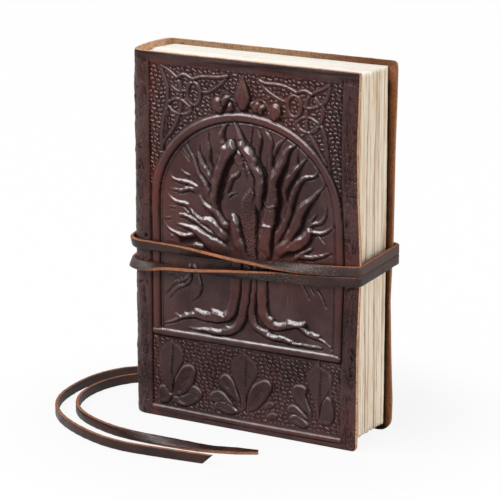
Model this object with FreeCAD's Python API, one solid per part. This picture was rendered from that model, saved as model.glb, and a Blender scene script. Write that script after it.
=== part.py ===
"""Leather journal: a folded leather cover, sewn signatures and a thong tied round the book.

Frame: origin at the middle of the book's foot, +Z up, spine towards -X, fore-edge towards +X,
front cover facing -Y. Millimetres.
"""
import math
import os

import FreeCAD, Part

V = FreeCAD.Vector

# Book
HEIGHT = 178.0              # cover, foot to head
THICKNESS = 37.6            # outside of the front cover to outside of the back cover
WIDTH = 125.4               # outermost line of the spine to the fore-edge of the cover
LEATHER = 2.4               # thickness of the cover's leather

# Spine, seen from the head
SPINE_BOW_RADIUS = 60.0     # gentle bow of the spine between its two corners
SPINE_BOW_CENTRE = 4.0      # how far behind the middle the spine stands out most
FRONT_FOLD_RADIUS = 8.6     # outside radius where the front cover leaves the spine
BACK_FOLD_RADIUS = 4.5      # outside radius where the back cover leaves the spine

# Corners of the covers at the fore-edge, seen from the front
CORNER_RADIUS = 2.0
WORN_CORNER_RADIUS = 5.0    # lower corner of the back cover

# Pages
SIGNATURES = 4
HEAD_RECESS = 1.8           # pages below the head of the cover
FOOT_RECESS = 3.9           # pages above the foot of the cover
FORE_RECESS = 2.8           # pages inside the fore-edge of the cover
PAGE_GAP_FRONT = 0.2        # front cover to first leaf
PAGE_GAP_BACK = 1.0         # last leaf to back cover
PAGE_GAP_SPINE = 0.3        # fold to the leather of the spine
OUTER_FOLD_TUCK = 1.3       # how much further in the first and last folds lie
FOLD_SAGITTA = 2.4          # how far a fold stands out between its two neighbours
FOLD_CLEARANCE = 0.05       # least room, towards the spine, between any point of a fold and the leather
FORE_GROOVE_DEPTH = 0.9     # valley between two signatures at the fore-edge
FORE_GROOVE_WIDTH = 1.0

# Sewing
THREAD_RADIUS = 0.45
THREAD_BEND = 1.2           # radius of the thread's centreline where it turns through a hole
THREAD_GAP = 0.15           # thread to leather and paper
THREAD_STANDING = 0.35      # how far a tight outside stitch stands out of the soft leather
THREAD_TAIL = 5.0           # end of the thread inside the fold, up to its knot
KNOT_RADIUS = 1.0
HOLE_FROM_END = 24.0         # first and last hole, from the foot and the head
HOLE_FROM_MIDDLE = 19.0     # the two inner holes, from half height

# Thong
THONG_WIDTH = 4.6
THONG_THICKNESS = 1.8
THONG_GAP = 0.3             # thong to the cover
THONG_EDGE_INSET = 0.5      # centre of the thong's bend, inside the fore-edge of the cover
LOWER_BAND = (74.0, 81.9, 84.4)     # middle of the band: front of spine, front fore-edge, back fore-edge
BAND_GAPS = (5.9, 0.1, 0.2)         # between the lower and the upper band at the same places
HITCH_X = 6.0               # middle of the hitch on the back cover
HITCH_WIDTH = 15.0
HITCH_HEIGHT = 15.0
HITCH_DROP = 2.0            # middle of the hitch below the middle of the two bands at the fore-edge
HITCH_LAYERS = 3            # strips of thong on top of each other in the hitch
HITCH_ROUND = 1.5

# Tails: the strip comes down from the hitch in an upright plane that leans away from the book,
# and stands on its edge where it lies on the ground.
TAIL_CLEAR = 0.05                   # the strip's lower edge above the ground
TAIL_GAP = 0.3                      # the inner tail to the bands, and to the outer tail
TAIL_LAP = 0.1                      # the tails leave the hitch edge to edge, less this much
OUTER_START_X = 4.0                 # middle of the outer tail where it leaves the hitch
OUTER_LEAN = 0.17                   # how far the plane moves off the book for each millimetre to the left
INNER_LEAN = 0.08

RUN_SHARE = 0.45                    # share of the shorter run that a bend's tangent takes up

TOUCHING = 1e-6             # two points this near are one
FOLD_SAMPLES = 30           # points at which a fold's room is measured

# Worked out from the sizes above
X_SPINE = -WIDTH / 2
X_FORE = WIDTH / 2
PAGES_TOP = HEIGHT - HEAD_RECESS
HALF_HEIGHT = HEIGHT / 2
LOWER_HOLES = (HOLE_FROM_END, HALF_HEIGHT - HOLE_FROM_MIDDLE)
UPPER_HOLES = (HALF_HEIGHT + HOLE_FROM_MIDDLE, HEIGHT - HOLE_FROM_END)
UPPER_BAND = tuple(z + THONG_WIDTH + gap for z, gap in zip(LOWER_BAND, BAND_GAPS))
TAIL_REST = THONG_WIDTH / 2 + TAIL_CLEAR
TAIL_STEP = THONG_THICKNESS + TAIL_GAP
BACK_PLANE = THICKNESS / 2 + THONG_GAP
INNER_TAIL_Y = BACK_PLANE + THONG_THICKNESS * 1.5 + TAIL_GAP
OUTER_TAIL_Y = INNER_TAIL_Y + TAIL_STEP
INNER_START_X = OUTER_START_X + THONG_WIDTH - TAIL_LAP
HITCH_FOOT = (UPPER_BAND[2] + LOWER_BAND[2]) / 2 - HITCH_DROP - HITCH_HEIGHT / 2

# Points that each tail bends at: (x, z) in its upright plane down to the ground, then (x, y) on the ground.
OUTER_DROP = (
    (OUTER_START_X, HITCH_FOOT), (OUTER_START_X, 63.0), (-6.0, 43.0), (-22.0, 22.0),
    (-46.0, TAIL_REST), (-71.0, TAIL_REST),
)
OUTER_GROUND = (
    (-91.0, 33.0), (-100.3, 15.0), (-101.2, -8.0), (-96.3, -31.0), (-82.5, -50.5),
    (-60.0, -64.5), (-36.0, -72.5), (-11.5, -70.9), (12.7, -68.0),
)
INNER_DROP = (
    (INNER_START_X, HITCH_FOOT), (INNER_START_X, 62.0), (2.0, 42.0), (-12.0, 21.0),
    (-35.0, TAIL_REST), (-60.0, TAIL_REST),
)
INNER_GROUND = (
    (-80.5, 25.0), (-90.0, 10.5), (-92.3, -8.0), (-87.5, -26.5), (-76.0, -42.0),
    (-57.0, -52.0), (-36.0, -57.5), (-14.0, -56.4), (7.0, -52.8), (25.6, -44.4),
)


def fold_centre(side):
    """Centre and outside radius of the spine's corner: side -1 at the front cover, +1 at the back."""
    radius = FRONT_FOLD_RADIUS if side < 0 else BACK_FOLD_RADIUS
    y = side * (THICKNESS / 2 - radius)
    reach = math.sqrt((SPINE_BOW_RADIUS - radius) ** 2 - (y - SPINE_BOW_CENTRE) ** 2)
    return V(X_SPINE + SPINE_BOW_RADIUS - reach, y, 0), radius


def bow_centre():
    """Centre of the spine's bow."""
    return V(X_SPINE + SPINE_BOW_RADIUS, SPINE_BOW_CENTRE, 0)


def fold_points(side, inset):
    """Start, middle and end of a spine corner, from the cover's flat face to the bow."""
    centre, radius = fold_centre(side)
    outward = centre.sub(bow_centre()).normalize()
    flat = V(0, side, 0)
    middle = V(outward).add(flat).normalize()
    reach = radius - inset
    return [centre.add(V(d).multiply(reach)) for d in (flat, middle, outward)]


def sheet_chain(inset, x_end):
    """Edges from the front cover's fore-edge, round the spine, to the back cover's fore-edge."""
    flat = THICKNESS / 2 - inset
    front = fold_points(-1, inset)
    back = fold_points(1, inset)
    bow = V(X_SPINE + inset, SPINE_BOW_CENTRE, 0)
    return [
        Part.LineSegment(V(x_end, -flat, 0), front[0]),
        Part.Arc(*front),
        Part.Arc(front[2], bow, back[2]),
        Part.Arc(back[2], back[1], back[0]),
        Part.LineSegment(back[0], V(x_end, flat, 0)),
    ]


def spine_inside(y):
    """X of the spine leather's inner face at a given y."""
    for side in (-1, 1):
        centre, radius = fold_centre(side)
        meeting = fold_points(side, LEATHER)[2].y
        if side * (y - meeting) > 0:
            return centre.x - math.sqrt((radius - LEATHER) ** 2 - (y - centre.y) ** 2)
    reach = SPINE_BOW_RADIUS - LEATHER
    return bow_centre().x - math.sqrt(reach ** 2 - (y - SPINE_BOW_CENTRE) ** 2)


def wire_of(curves):
    """One wire of joined curves."""
    return Part.Wire([curve.toShape() for curve in curves])


def cover_sheet():
    """The folded leather before its sewing holes."""
    outside = sheet_chain(0, X_FORE)
    inside = sheet_chain(LEATHER, X_FORE)
    flat = THICKNESS / 2
    ends = [
        Part.LineSegment(V(X_FORE, -flat, 0), V(X_FORE, -flat + LEATHER, 0)),
        Part.LineSegment(V(X_FORE, flat, 0), V(X_FORE, flat - LEATHER, 0)),
    ]
    outline = Part.Wire(Part.__sortEdges__([c.toShape() for c in outside + inside + ends]))
    sheet = Part.Face(outline).extrude(V(0, 0, HEIGHT))
    worn = corner_edges(sheet, 1, 0.0)
    sheet = sheet.makeFillet(WORN_CORNER_RADIUS, worn)
    plain = corner_edges(sheet, 1, HEIGHT) + corner_edges(sheet, -1, 0.0) + corner_edges(sheet, -1, HEIGHT)
    return sheet.makeFillet(CORNER_RADIUS, plain)


def corner_edges(sheet, side, z):
    """The fore-edge corner of one cover, side -1 front or +1 back, at the height z."""
    found = []
    for edge in sheet.Edges:
        ends = [vertex.Point for vertex in edge.Vertexes]
        at_corner = all(abs(p.x - X_FORE) + abs(p.z - z) < TOUCHING and p.y * side > 0 for p in ends)
        if len(ends) == 2 and at_corner:
            found.append(edge)
    return found


def signature_bounds():
    """Y of the faces between signatures, first leaf to last."""
    first = -THICKNESS / 2 + LEATHER + PAGE_GAP_FRONT
    last = THICKNESS / 2 - LEATHER - PAGE_GAP_BACK
    step = (last - first) / SIGNATURES
    return [first + step * k for k in range(SIGNATURES + 1)]


def fold_x(k):
    """X of the outermost line of signature k's fold."""
    bounds = signature_bounds()
    middle = (bounds[k] + bounds[k + 1]) / 2
    tuck = OUTER_FOLD_TUCK if k in (0, SIGNATURES - 1) else 0
    return spine_inside(middle) + PAGE_GAP_SPINE + tuck


def fold_arc(k):
    """The fold of signature k, seen from the head."""
    bounds = signature_bounds()
    shoulder_a = max(fold_x(k) + FOLD_SAGITTA, spine_inside(bounds[k]) + PAGE_GAP_SPINE)
    shoulder_b = max(fold_x(k) + FOLD_SAGITTA, spine_inside(bounds[k + 1]) + PAGE_GAP_SPINE)
    middle = V(fold_x(k), (bounds[k] + bounds[k + 1]) / 2, 0)
    arc = [V(shoulder_a, bounds[k], 0), middle, V(shoulder_b, bounds[k + 1], 0)]
    on_arc = Part.Arc(*arc).toShape().discretize(FOLD_SAMPLES)
    room = min(point.x - spine_inside(point.y) for point in on_arc)
    shift = V(max(0, FOLD_CLEARANCE - room), 0, 0)
    return [point.add(shift) for point in arc]


def page_stack():
    """The four folded signatures as one solid, before the sewing's channels."""
    curves = []
    previous = None
    for k in range(SIGNATURES):
        start, middle, end = fold_arc(k)
        if previous is not None and previous.distanceToPoint(start) > TOUCHING:
            curves.append(Part.LineSegment(previous, start))
        curves.append(Part.Arc(start, middle, end))
        previous = end
    x_fore = X_FORE - FORE_RECESS
    bounds = signature_bounds()
    points = [previous, V(x_fore, bounds[-1], 0)]
    for y in reversed(bounds[1:-1]):
        points.append(V(x_fore, y + FORE_GROOVE_WIDTH / 2, 0))
        points.append(V(x_fore - FORE_GROOVE_DEPTH, y, 0))
        points.append(V(x_fore, y - FORE_GROOVE_WIDTH / 2, 0))
    points.append(V(x_fore, bounds[0], 0))
    points.append(fold_arc(0)[0])
    curves += [Part.LineSegment(a, b) for a, b in zip(points, points[1:])]
    face = Part.Face(wire_of(curves))
    face.translate(V(0, 0, FOOT_RECESS))
    return face.extrude(V(0, 0, PAGES_TOP - FOOT_RECESS))


def thread_route(k):
    """Corner points of signature k's running stitch, knot to knot, in the plane of its fold."""
    bounds = signature_bounds()
    y = (bounds[k] + bounds[k + 1]) / 2
    inside = fold_x(k) + (bounds[k + 1] - bounds[k]) / 2 + THREAD_RADIUS
    outside = spine_inside(y) - LEATHER + THREAD_RADIUS - THREAD_STANDING
    low, next_low = LOWER_HOLES
    next_high, high = UPPER_HOLES
    corners = [
        (inside, low - THREAD_TAIL), (inside, low), (outside, low), (outside, next_low),
        (inside, next_low), (inside, next_high), (outside, next_high), (outside, high),
        (inside, high), (inside, high + THREAD_TAIL),
    ]
    return [V(x, y, z) for x, z in corners]


def bent_path(points, radius_at):
    """Straight runs joined by tangent arcs. radius_at(k) is the radius at point k."""
    pieces = []
    last = points[0]
    for k in range(1, len(points) - 1):
        to_last = points[k - 1].sub(points[k]).normalize()
        to_next = points[k + 1].sub(points[k]).normalize()
        turn = math.pi - to_last.getAngle(to_next)
        reach = radius_at(k) * math.tan(turn / 2)
        start = points[k].add(V(to_last).multiply(reach))
        end = points[k].add(V(to_next).multiply(reach))
        inward = V(to_last).add(to_next).normalize()
        depth = radius_at(k) * (1 / math.cos(turn / 2) - 1)
        pieces.append(("line", last, start))
        pieces.append(("arc", start, points[k].add(V(inward).multiply(depth)), end))
        last = end
    pieces.append(("line", last, points[-1]))
    return pieces


def path_length(pieces):
    """Length along a bent path."""
    total = 0.0
    for piece in pieces:
        curve = Part.LineSegment(*piece[1:]) if piece[0] == "line" else Part.Arc(*piece[1:])
        total += curve.length()
    return total


def carried(section, pieces):
    """A planar section carried along a bent path: pushed along each run, turned round each arc."""
    solids = []
    for piece in pieces:
        if piece[0] == "line":
            step = piece[2].sub(piece[1])
            solids.append(section.extrude(step))
            section = section.translated(step)
            continue
        circle = Part.Arc(*piece[1:]).toShape().Curve
        chord_a = piece[1].sub(circle.Center)
        chord_b = piece[3].sub(circle.Center)
        axis = chord_a.cross(chord_b).normalize()
        degrees = math.degrees(chord_a.getAngle(chord_b))
        solids.append(section.revolve(circle.Center, axis, degrees))
        section = section.rotated(circle.Center, axis, degrees)
    return solids[0].multiFuse(solids[1:]).removeSplitter()


def thread(k, grow=0.0):
    """Signature k's thread with its two knots, or the channel for it when grow is its clearance."""
    route = thread_route(k)
    radius = THREAD_RADIUS + grow
    disc = Part.Face(Part.Wire(Part.makeCircle(radius, route[0], route[1].sub(route[0]))))
    solid = carried(disc, bent_path(route, lambda _: THREAD_BEND))
    knots = [Part.makeSphere(KNOT_RADIUS + grow, end) for end in (route[0], route[-1])]
    return solid.multiFuse(knots)


def band_outline(inset):
    """Closed outline round the tied book, inside the cover's outer face by inset."""
    x_bend = X_FORE - THONG_EDGE_INSET
    y_bend = THICKNESS / 2 - THONG_EDGE_INSET
    radius = THONG_EDGE_INSET - inset
    slope = radius * math.sqrt(0.5)
    curves = sheet_chain(inset, x_bend)
    curves.append(Part.Arc(V(x_bend, y_bend + radius, 0), V(x_bend + slope, y_bend + slope, 0),
                           V(x_bend + radius, y_bend, 0)))
    curves.append(Part.LineSegment(V(x_bend + radius, y_bend, 0), V(x_bend + radius, -y_bend, 0)))
    curves.append(Part.Arc(V(x_bend + radius, -y_bend, 0), V(x_bend + slope, -y_bend - slope, 0),
                           V(x_bend, -y_bend - radius, 0)))
    return wire_of(curves)


def band(heights):
    """One turn of the thong round the book, level across its width and sloping as its three heights say."""
    spine_z, front_z, back_z = heights
    slope_x = (front_z - spine_z) / WIDTH
    slope_y = (back_z - front_z) / THICKNESS
    corners = [(-WIDTH, -THICKNESS), (WIDTH, -THICKNESS), (WIDTH, THICKNESS), (-WIDTH, THICKNESS)]
    middle = (spine_z + front_z) / 2 + slope_y * THICKNESS / 2 - THONG_WIDTH / 2
    low = [V(x, y, middle + slope_x * x + slope_y * y) for x, y in corners]
    slab = Part.Face(Part.makePolygon(low + low[:1])).extrude(V(0, 0, THONG_WIDTH))
    outside = Part.Face(band_outline(-THONG_GAP - THONG_THICKNESS)).extrude(V(0, 0, HEIGHT))
    inside = Part.Face(band_outline(-THONG_GAP)).extrude(V(0, 0, HEIGHT))
    return outside.cut(inside).common(slab)


def hitch():
    """Where the doubled thong passes through its own bight and folds back."""
    depth = HITCH_LAYERS * THONG_THICKNESS + (HITCH_LAYERS - 1) * TAIL_GAP
    corner = V(HITCH_X - HITCH_WIDTH / 2, BACK_PLANE, HITCH_FOOT)
    block = Part.makeBox(HITCH_WIDTH, depth, HITCH_HEIGHT, corner)
    upright = [e for e in block.Edges if abs(e.Vertexes[0].Z - e.Vertexes[1].Z) > TOUCHING]
    outer = [e for e in upright if e.Vertexes[0].Y > BACK_PLANE + depth / 2]
    return block.makeFillet(HITCH_ROUND, outer)


def tail_route(drop, ground, start_y, lean):
    """All of one tail's points, from the hitch to the cut end."""
    start_x = drop[0][0]
    points = [V(x, start_y + lean * (start_x - x), z) for x, z in drop]
    return points + [V(x, y, TAIL_REST) for x, y in ground]


def tail(drop, ground, start_y, lean):
    """A free tail of the thong: a flat strip that stays flat against its upright plane."""
    points = tail_route(drop, ground, start_y, lean)

    def radius_at(k):
        """The widest bend that the two runs at point k allow."""
        run_a = points[k].sub(points[k - 1])
        run_b = points[k + 1].sub(points[k])
        turn = run_a.getAngle(run_b)
        return RUN_SHARE * min(run_a.Length, run_b.Length) / math.tan(turn / 2)

    pieces = bent_path(points, radius_at)
    start = points[0]
    along = points[1].sub(start).normalize()
    flat = V(lean, 1, 0).normalize()
    half_depth = V(flat).multiply(THONG_THICKNESS / 2)
    half_width = along.cross(flat).normalize().multiply(THONG_WIDTH / 2)
    corners = [start.add(half_width).add(half_depth), start.sub(half_width).add(half_depth),
               start.sub(half_width).sub(half_depth), start.add(half_width).sub(half_depth)]
    section = Part.Face(Part.makePolygon(corners + corners[:1]))
    solid = carried(section, pieces)
    radii = [round(radius_at(k), 1) for k in range(1, len(points) - 1)]
    length = path_length(pieces)
    expected = length * THONG_WIDTH * THONG_THICKNESS
    print(f"tail: length {length:.1f}, radii {radii}, volume {solid.Volume:.1f} for {expected:.1f}")
    return solid


def save(node, shape):
    """Write one node's STEP file, and say what it holds."""
    shape.exportStep(f"parts/{node}.step")
    box = shape.optimalBoundingBox()
    print(f"{node}: {len(shape.Solids)} solid, valid {shape.isValid()}, volume {shape.Volume:.0f}")
    sides = (("x", box.XMin, box.XMax), ("y", box.YMin, box.YMax), ("z", box.ZMin, box.ZMax))
    for name, low, high in sides:
        print(f"    {name} {low:.2f} to {high:.2f}")


def main():
    """Build every piece of the journal."""
    os.makedirs("parts", exist_ok=True)
    cover = cover_sheet()
    pages = page_stack()
    for k in range(SIGNATURES):
        channel = thread(k, THREAD_GAP)
        cover = cover.cut(channel)
        pages = pages.cut(channel)
        save(f"sewing_thread_{k + 1}", thread(k).Solids[0])
    save("leather_cover", cover.Solids[0])
    save("page_block", pages.Solids[0])
    wrap = band(UPPER_BAND).multiFuse([band(LOWER_BAND), hitch()])
    save("wrap_thong", wrap.Solids[0])
    outer = tail(OUTER_DROP, OUTER_GROUND, OUTER_TAIL_Y, OUTER_LEAN)
    inner = tail(INNER_DROP, INNER_GROUND, INNER_TAIL_Y, INNER_LEAN)
    save("thong_tail_outer", outer.Solids[0])
    save("thong_tail_inner", inner.Solids[0])


main()
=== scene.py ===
"""The looks of a leather journal: a tooled cover round sewn pages, tied with one long thong.

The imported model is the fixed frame. Sizes are in millimetres and turned to metres where a mesh is made.
"""

import logging
import math
from dataclasses import dataclass, field
from enum import Enum
from typing import Any, Callable, Sequence

import bpy
import numpy as np
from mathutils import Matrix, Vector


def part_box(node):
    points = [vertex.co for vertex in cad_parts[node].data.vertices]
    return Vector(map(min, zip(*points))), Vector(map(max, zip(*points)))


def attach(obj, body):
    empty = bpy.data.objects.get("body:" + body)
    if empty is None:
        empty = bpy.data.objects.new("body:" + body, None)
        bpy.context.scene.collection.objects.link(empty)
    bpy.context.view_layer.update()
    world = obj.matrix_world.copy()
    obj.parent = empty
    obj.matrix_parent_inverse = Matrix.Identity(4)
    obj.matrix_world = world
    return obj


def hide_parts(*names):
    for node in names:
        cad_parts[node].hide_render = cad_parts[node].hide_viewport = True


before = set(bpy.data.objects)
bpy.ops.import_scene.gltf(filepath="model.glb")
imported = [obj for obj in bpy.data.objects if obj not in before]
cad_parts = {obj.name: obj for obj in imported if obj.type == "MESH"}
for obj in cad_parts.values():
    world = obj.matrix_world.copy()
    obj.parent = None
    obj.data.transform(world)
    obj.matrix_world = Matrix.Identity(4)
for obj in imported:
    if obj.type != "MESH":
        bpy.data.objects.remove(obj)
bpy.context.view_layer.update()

LOG = logging.getLogger("journal")
MM = 0.001
BODY = "root"
FAR = 99.0
WHITE = (1.0, 1.0, 1.0, 1.0)

Array = np.ndarray
Pair = tuple[float, float]
Triple = tuple[float, float, float]
Colour = tuple[float, float, float, float]
Material = bpy.types.Material
Piece = bpy.types.Object
Socket = bpy.types.NodeSocket
Value = Socket | float | tuple


class Slot(Enum):
    """Material slots of the record."""

    COVER = "cover_leather"
    PAPER = "paper"
    THREAD = "thread"
    THONG = "thong_leather"


class Side(Enum):
    """What a strip of a mesh shows: its order in the piece's list of materials."""

    GRAIN = 0
    FLESH = 1
    CUT = 2


# ---- small tools


def ease(low: float, high: float, value: Array) -> Array:
    """Rise smoothly from 0 at low to 1 at high, or fall where low is the higher."""
    t = np.clip((np.asarray(value, float) - low) / (high - low), 0.0, 1.0)
    return t * t * (3.0 - 2.0 * t)


def through(points: Sequence[Sequence[float]], step: float) -> tuple[Array, Array]:
    """Draw a smooth line through points.

    Args:
        points: The points, of any number of dimensions.
        step: Greatest distance between two samples.

    Returns:
        The samples, and each one's place in the list of points as a number from 0 to len - 1.
    """
    p = np.asarray(points, float)
    if len(p) == 2:
        count = max(2, int(np.linalg.norm(p[1] - p[0]) / step) + 2)
        t = np.linspace(0.0, 1.0, count)
        return p[0] + (p[1] - p[0]) * t[:, None], t
    padded = np.vstack([2 * p[0] - p[1], p, 2 * p[-1] - p[-2]])
    gaps = np.linalg.norm(np.diff(padded, axis=0), axis=1)
    knots = np.concatenate([[0.0], np.cumsum(gaps ** 0.5)])
    samples, places = [], []
    for k in range(1, len(padded) - 2):
        count = max(2, int(np.linalg.norm(padded[k + 1] - padded[k]) / step) + 2)
        u = np.linspace(knots[k], knots[k + 1], count)
        if k > 1:
            u = u[1:]
        samples.append(curve_between(padded[k - 1:k + 3], knots[k - 1:k + 3], u))
        places.append(k - 1 + (u - knots[k]) / (knots[k + 1] - knots[k]))
    return np.vstack(samples), np.concatenate(places)


def curve_between(p: Array, t: Array, u: Array) -> Array:
    """Draw a smooth curve between the middle two of four points.

    Args:
        p: The points.
        t: Their knots.
        u: Values between the middle two knots.

    Returns:
        A point for each value.
    """
    u = u[:, None]

    def mix(a: Array, b: Array, ta: float, tb: float) -> Array:
        """Straight line from a at ta to b at tb."""
        return a * (tb - u) / (tb - ta) + b * (u - ta) / (tb - ta)

    a1, a2, a3 = (mix(p[k], p[k + 1], t[k], t[k + 1]) for k in range(3))
    b1, b2 = mix(a1, a2, t[0], t[2]), mix(a2, a3, t[1], t[3])
    return mix(b1, b2, t[1], t[2])


def waves(x: Array, z: Array, seed: int, length: float, layers: int = 4) -> Array:
    """Smooth uneven waves without a grid, the same on every run.

    Args:
        x: First coordinate.
        z: Second coordinate.
        seed: Which pattern.
        length: Longest wavelength.
        layers: How many sets of waves, each half as long as the last.

    Returns:
        Values of about -1 to 1.
    """
    rng = np.random.default_rng(seed)
    total = np.zeros(np.broadcast(x, z).shape)
    for k in range(layers):
        for _ in range(4):
            angle, phase = rng.uniform(0, 2 * math.pi, 2)
            wave = 2 * math.pi / (length / 2 ** k * rng.uniform(0.7, 1.3))
            total += np.sin((x * math.cos(angle) + z * math.sin(angle)) * wave + phase) / 2 ** k
    return total / 4.0


def blurred(values: Array, sigma: float) -> Array:
    """Blur a grid with a bell of the given width in cells.

    Args:
        values: Grid of numbers.
        sigma: Width of the bell, in cells.

    Returns:
        The blurred grid.
    """
    reach = max(1, int(3 * sigma))
    bell = np.exp(-0.5 * (np.arange(-reach, reach + 1) / sigma) ** 2)
    bell /= bell.sum()
    for axis in (0, 1):
        pad = [(reach, reach) if a == axis else (0, 0) for a in (0, 1)]
        wide, size = np.pad(values, pad, mode="edge"), values.shape[axis]
        values = sum(w * np.take(wide, range(k, k + size), axis=axis) for k, w in enumerate(bell))
    return values


def distances(line: Array) -> Array:
    """Distance from a line's first point to each of its points."""
    return np.concatenate([[0.0], np.cumsum(np.linalg.norm(np.diff(line, axis=0), axis=1))])


def unit(vectors: Array) -> Array:
    """The same directions, of length 1."""
    return vectors / np.linalg.norm(vectors, axis=1)[:, None]


class MeshMaker:
    """Collects vertices and faces, and makes one object of them."""

    def __init__(self) -> None:
        """Start empty."""
        self.verts: list[Array] = []
        self.count = 0
        self.faces: list[tuple[int, ...]] = []
        self.sides: list[int] = []

    def add(self, points: Array) -> Array:
        """Add vertices.

        Args:
            points: Array of points in millimetres, whose last axis is x, y, z.

        Returns:
            Their indices, in the array's shape.
        """
        flat = points.reshape(-1, 3)
        index = np.arange(self.count, self.count + len(flat)).reshape(points.shape[:-1])
        self.verts.append(flat)
        self.count += len(flat)
        return index

    def quads(self, index: Array, side: Side = Side.GRAIN, flip: bool = False) -> None:
        """Fill a grid of vertices with four-sided faces.

        Args:
            index: Grid of vertex indices.
            side: What the faces show.
            flip: Whether to turn the faces over.
        """
        a, b, c, d = index[:-1, :-1], index[:-1, 1:], index[1:, 1:], index[1:, :-1]
        ring = (a, d, c, b) if flip else (a, b, c, d)
        made = np.stack([part.ravel() for part in ring], axis=1)
        self.faces += [tuple(face) for face in made.tolist()]
        self.sides += [side.value] * len(made)

    def face(self, corners: Sequence[int], side: Side, flip: bool = False) -> None:
        """Add one face.

        Args:
            corners: Indices of its vertices.
            side: What it shows.
            flip: Whether to turn it over.
        """
        corners = tuple(int(i) for i in corners)
        self.faces.append(corners[::-1] if flip else corners)
        self.sides.append(side.value)

    def bridge(self, near: Array, far: Array, side: Side, flip: bool = False) -> None:
        """Join two lines of vertices, of any two lengths, with triangles.

        Args:
            near: Indices of the first line.
            far: Indices of the second line, in the same direction.
            side: What the faces show.
            flip: Whether to turn the faces over.
        """
        points = np.vstack(self.verts)
        place_a, place_b = (self._places(points[line]) for line in (near, far))
        i, j = 0, 0
        while i < len(near) - 1 or j < len(far) - 1:
            step_near = j == len(far) - 1 or (i < len(near) - 1 and place_a[i + 1] <= place_b[j + 1])
            if step_near:
                self.face((near[i], near[i + 1], far[j]), side, flip)
                i += 1
            else:
                self.face((near[i], far[j + 1], far[j]), side, flip)
                j += 1

    @staticmethod
    def _places(points: Array) -> Array:
        """Share of the line's length at each of its points."""
        length = distances(points)
        return length / max(length[-1], 1e-9)

    def build(self, name: str, materials: Sequence[Material]) -> Piece:
        """Make the object.

        Args:
            name: Name of the piece.
            materials: Its materials, in the order of Side.

        Returns:
            The object, linked to the scene.
        """
        mesh = bpy.data.meshes.new(name)
        mesh.from_pydata((np.vstack(self.verts) * MM).tolist(), [], self.faces)
        for material in materials:
            mesh.materials.append(material)
        mesh.polygons.foreach_set("material_index", np.array(self.sides, np.int32))
        mesh.polygons.foreach_set("use_smooth", np.full(len(self.faces), True))
        mesh.update()
        piece = bpy.data.objects.new(name, mesh)
        bpy.context.scene.collection.objects.link(piece)
        return piece


def set_attribute(piece: Piece, name: str, values: Array) -> None:
    """Store one number for each vertex under a name."""
    layer = piece.data.attributes.new(name, "FLOAT", "POINT")
    layer.data.foreach_set("value", np.asarray(values, np.float32).ravel())


# ---- finishes


class Nodes:
    """Short ways to build a tree of shader nodes."""

    def __init__(self, tree: bpy.types.NodeTree) -> None:
        """Work in one tree."""
        self.tree = tree

    def node(self, kind: str, output: int | str = 0, inputs: dict | None = None, **settings: Any) -> Socket:
        """Add a node.

        Args:
            kind: Blender's name for it.
            output: Which output to return.
            inputs: Values or sockets for its inputs, by name or number.
            **settings: The node's own properties.

        Returns:
            The chosen output.
        """
        made = self.tree.nodes.new(kind)
        for key, value in settings.items():
            setattr(made, key, value)
        for key, value in (inputs or {}).items():
            self.feed(made.inputs[key], value)
        return made.outputs[output]

    def feed(self, socket: Socket, value: Value) -> None:
        """Link a socket, or set a plain value.

        Args:
            socket: The input.
            value: An output socket, or a number, colour or vector.
        """
        if isinstance(value, Socket):
            self.tree.links.new(value, socket)
        else:
            socket.default_value = value

    def math(self, operation: str, a: Value, b: Value = 0.0, clamp: bool = False) -> Socket:
        """One step of arithmetic."""
        return self.node("ShaderNodeMath", inputs={0: a, 1: b}, operation=operation, use_clamp=clamp)

    def plus(self, a: Value, b: Value, clamp: bool = False) -> Socket:
        """A sum."""
        return self.math("ADD", a, b, clamp)

    def times(self, a: Value, b: Value, clamp: bool = False) -> Socket:
        """A product."""
        return self.math("MULTIPLY", a, b, clamp)

    def sine(self, value: Value) -> Socket:
        """The sine of an angle in radians."""
        return self.math("SINE", value)

    def seen(self, glossy: float) -> Socket:
        """Find which rays should see a white background.

        Args:
            glossy: Value for reflected rays.

        Returns:
            1 for rays from the camera or through glass, and 0 for all that is left.
        """
        path = self.tree.nodes.new("ShaderNodeLightPath").outputs
        both = self.math("MAXIMUM", path["Is Camera Ray"], path["Is Transmission Ray"])
        return self.math("MAXIMUM", both, self.times(path["Is Glossy Ray"], glossy))


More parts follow.
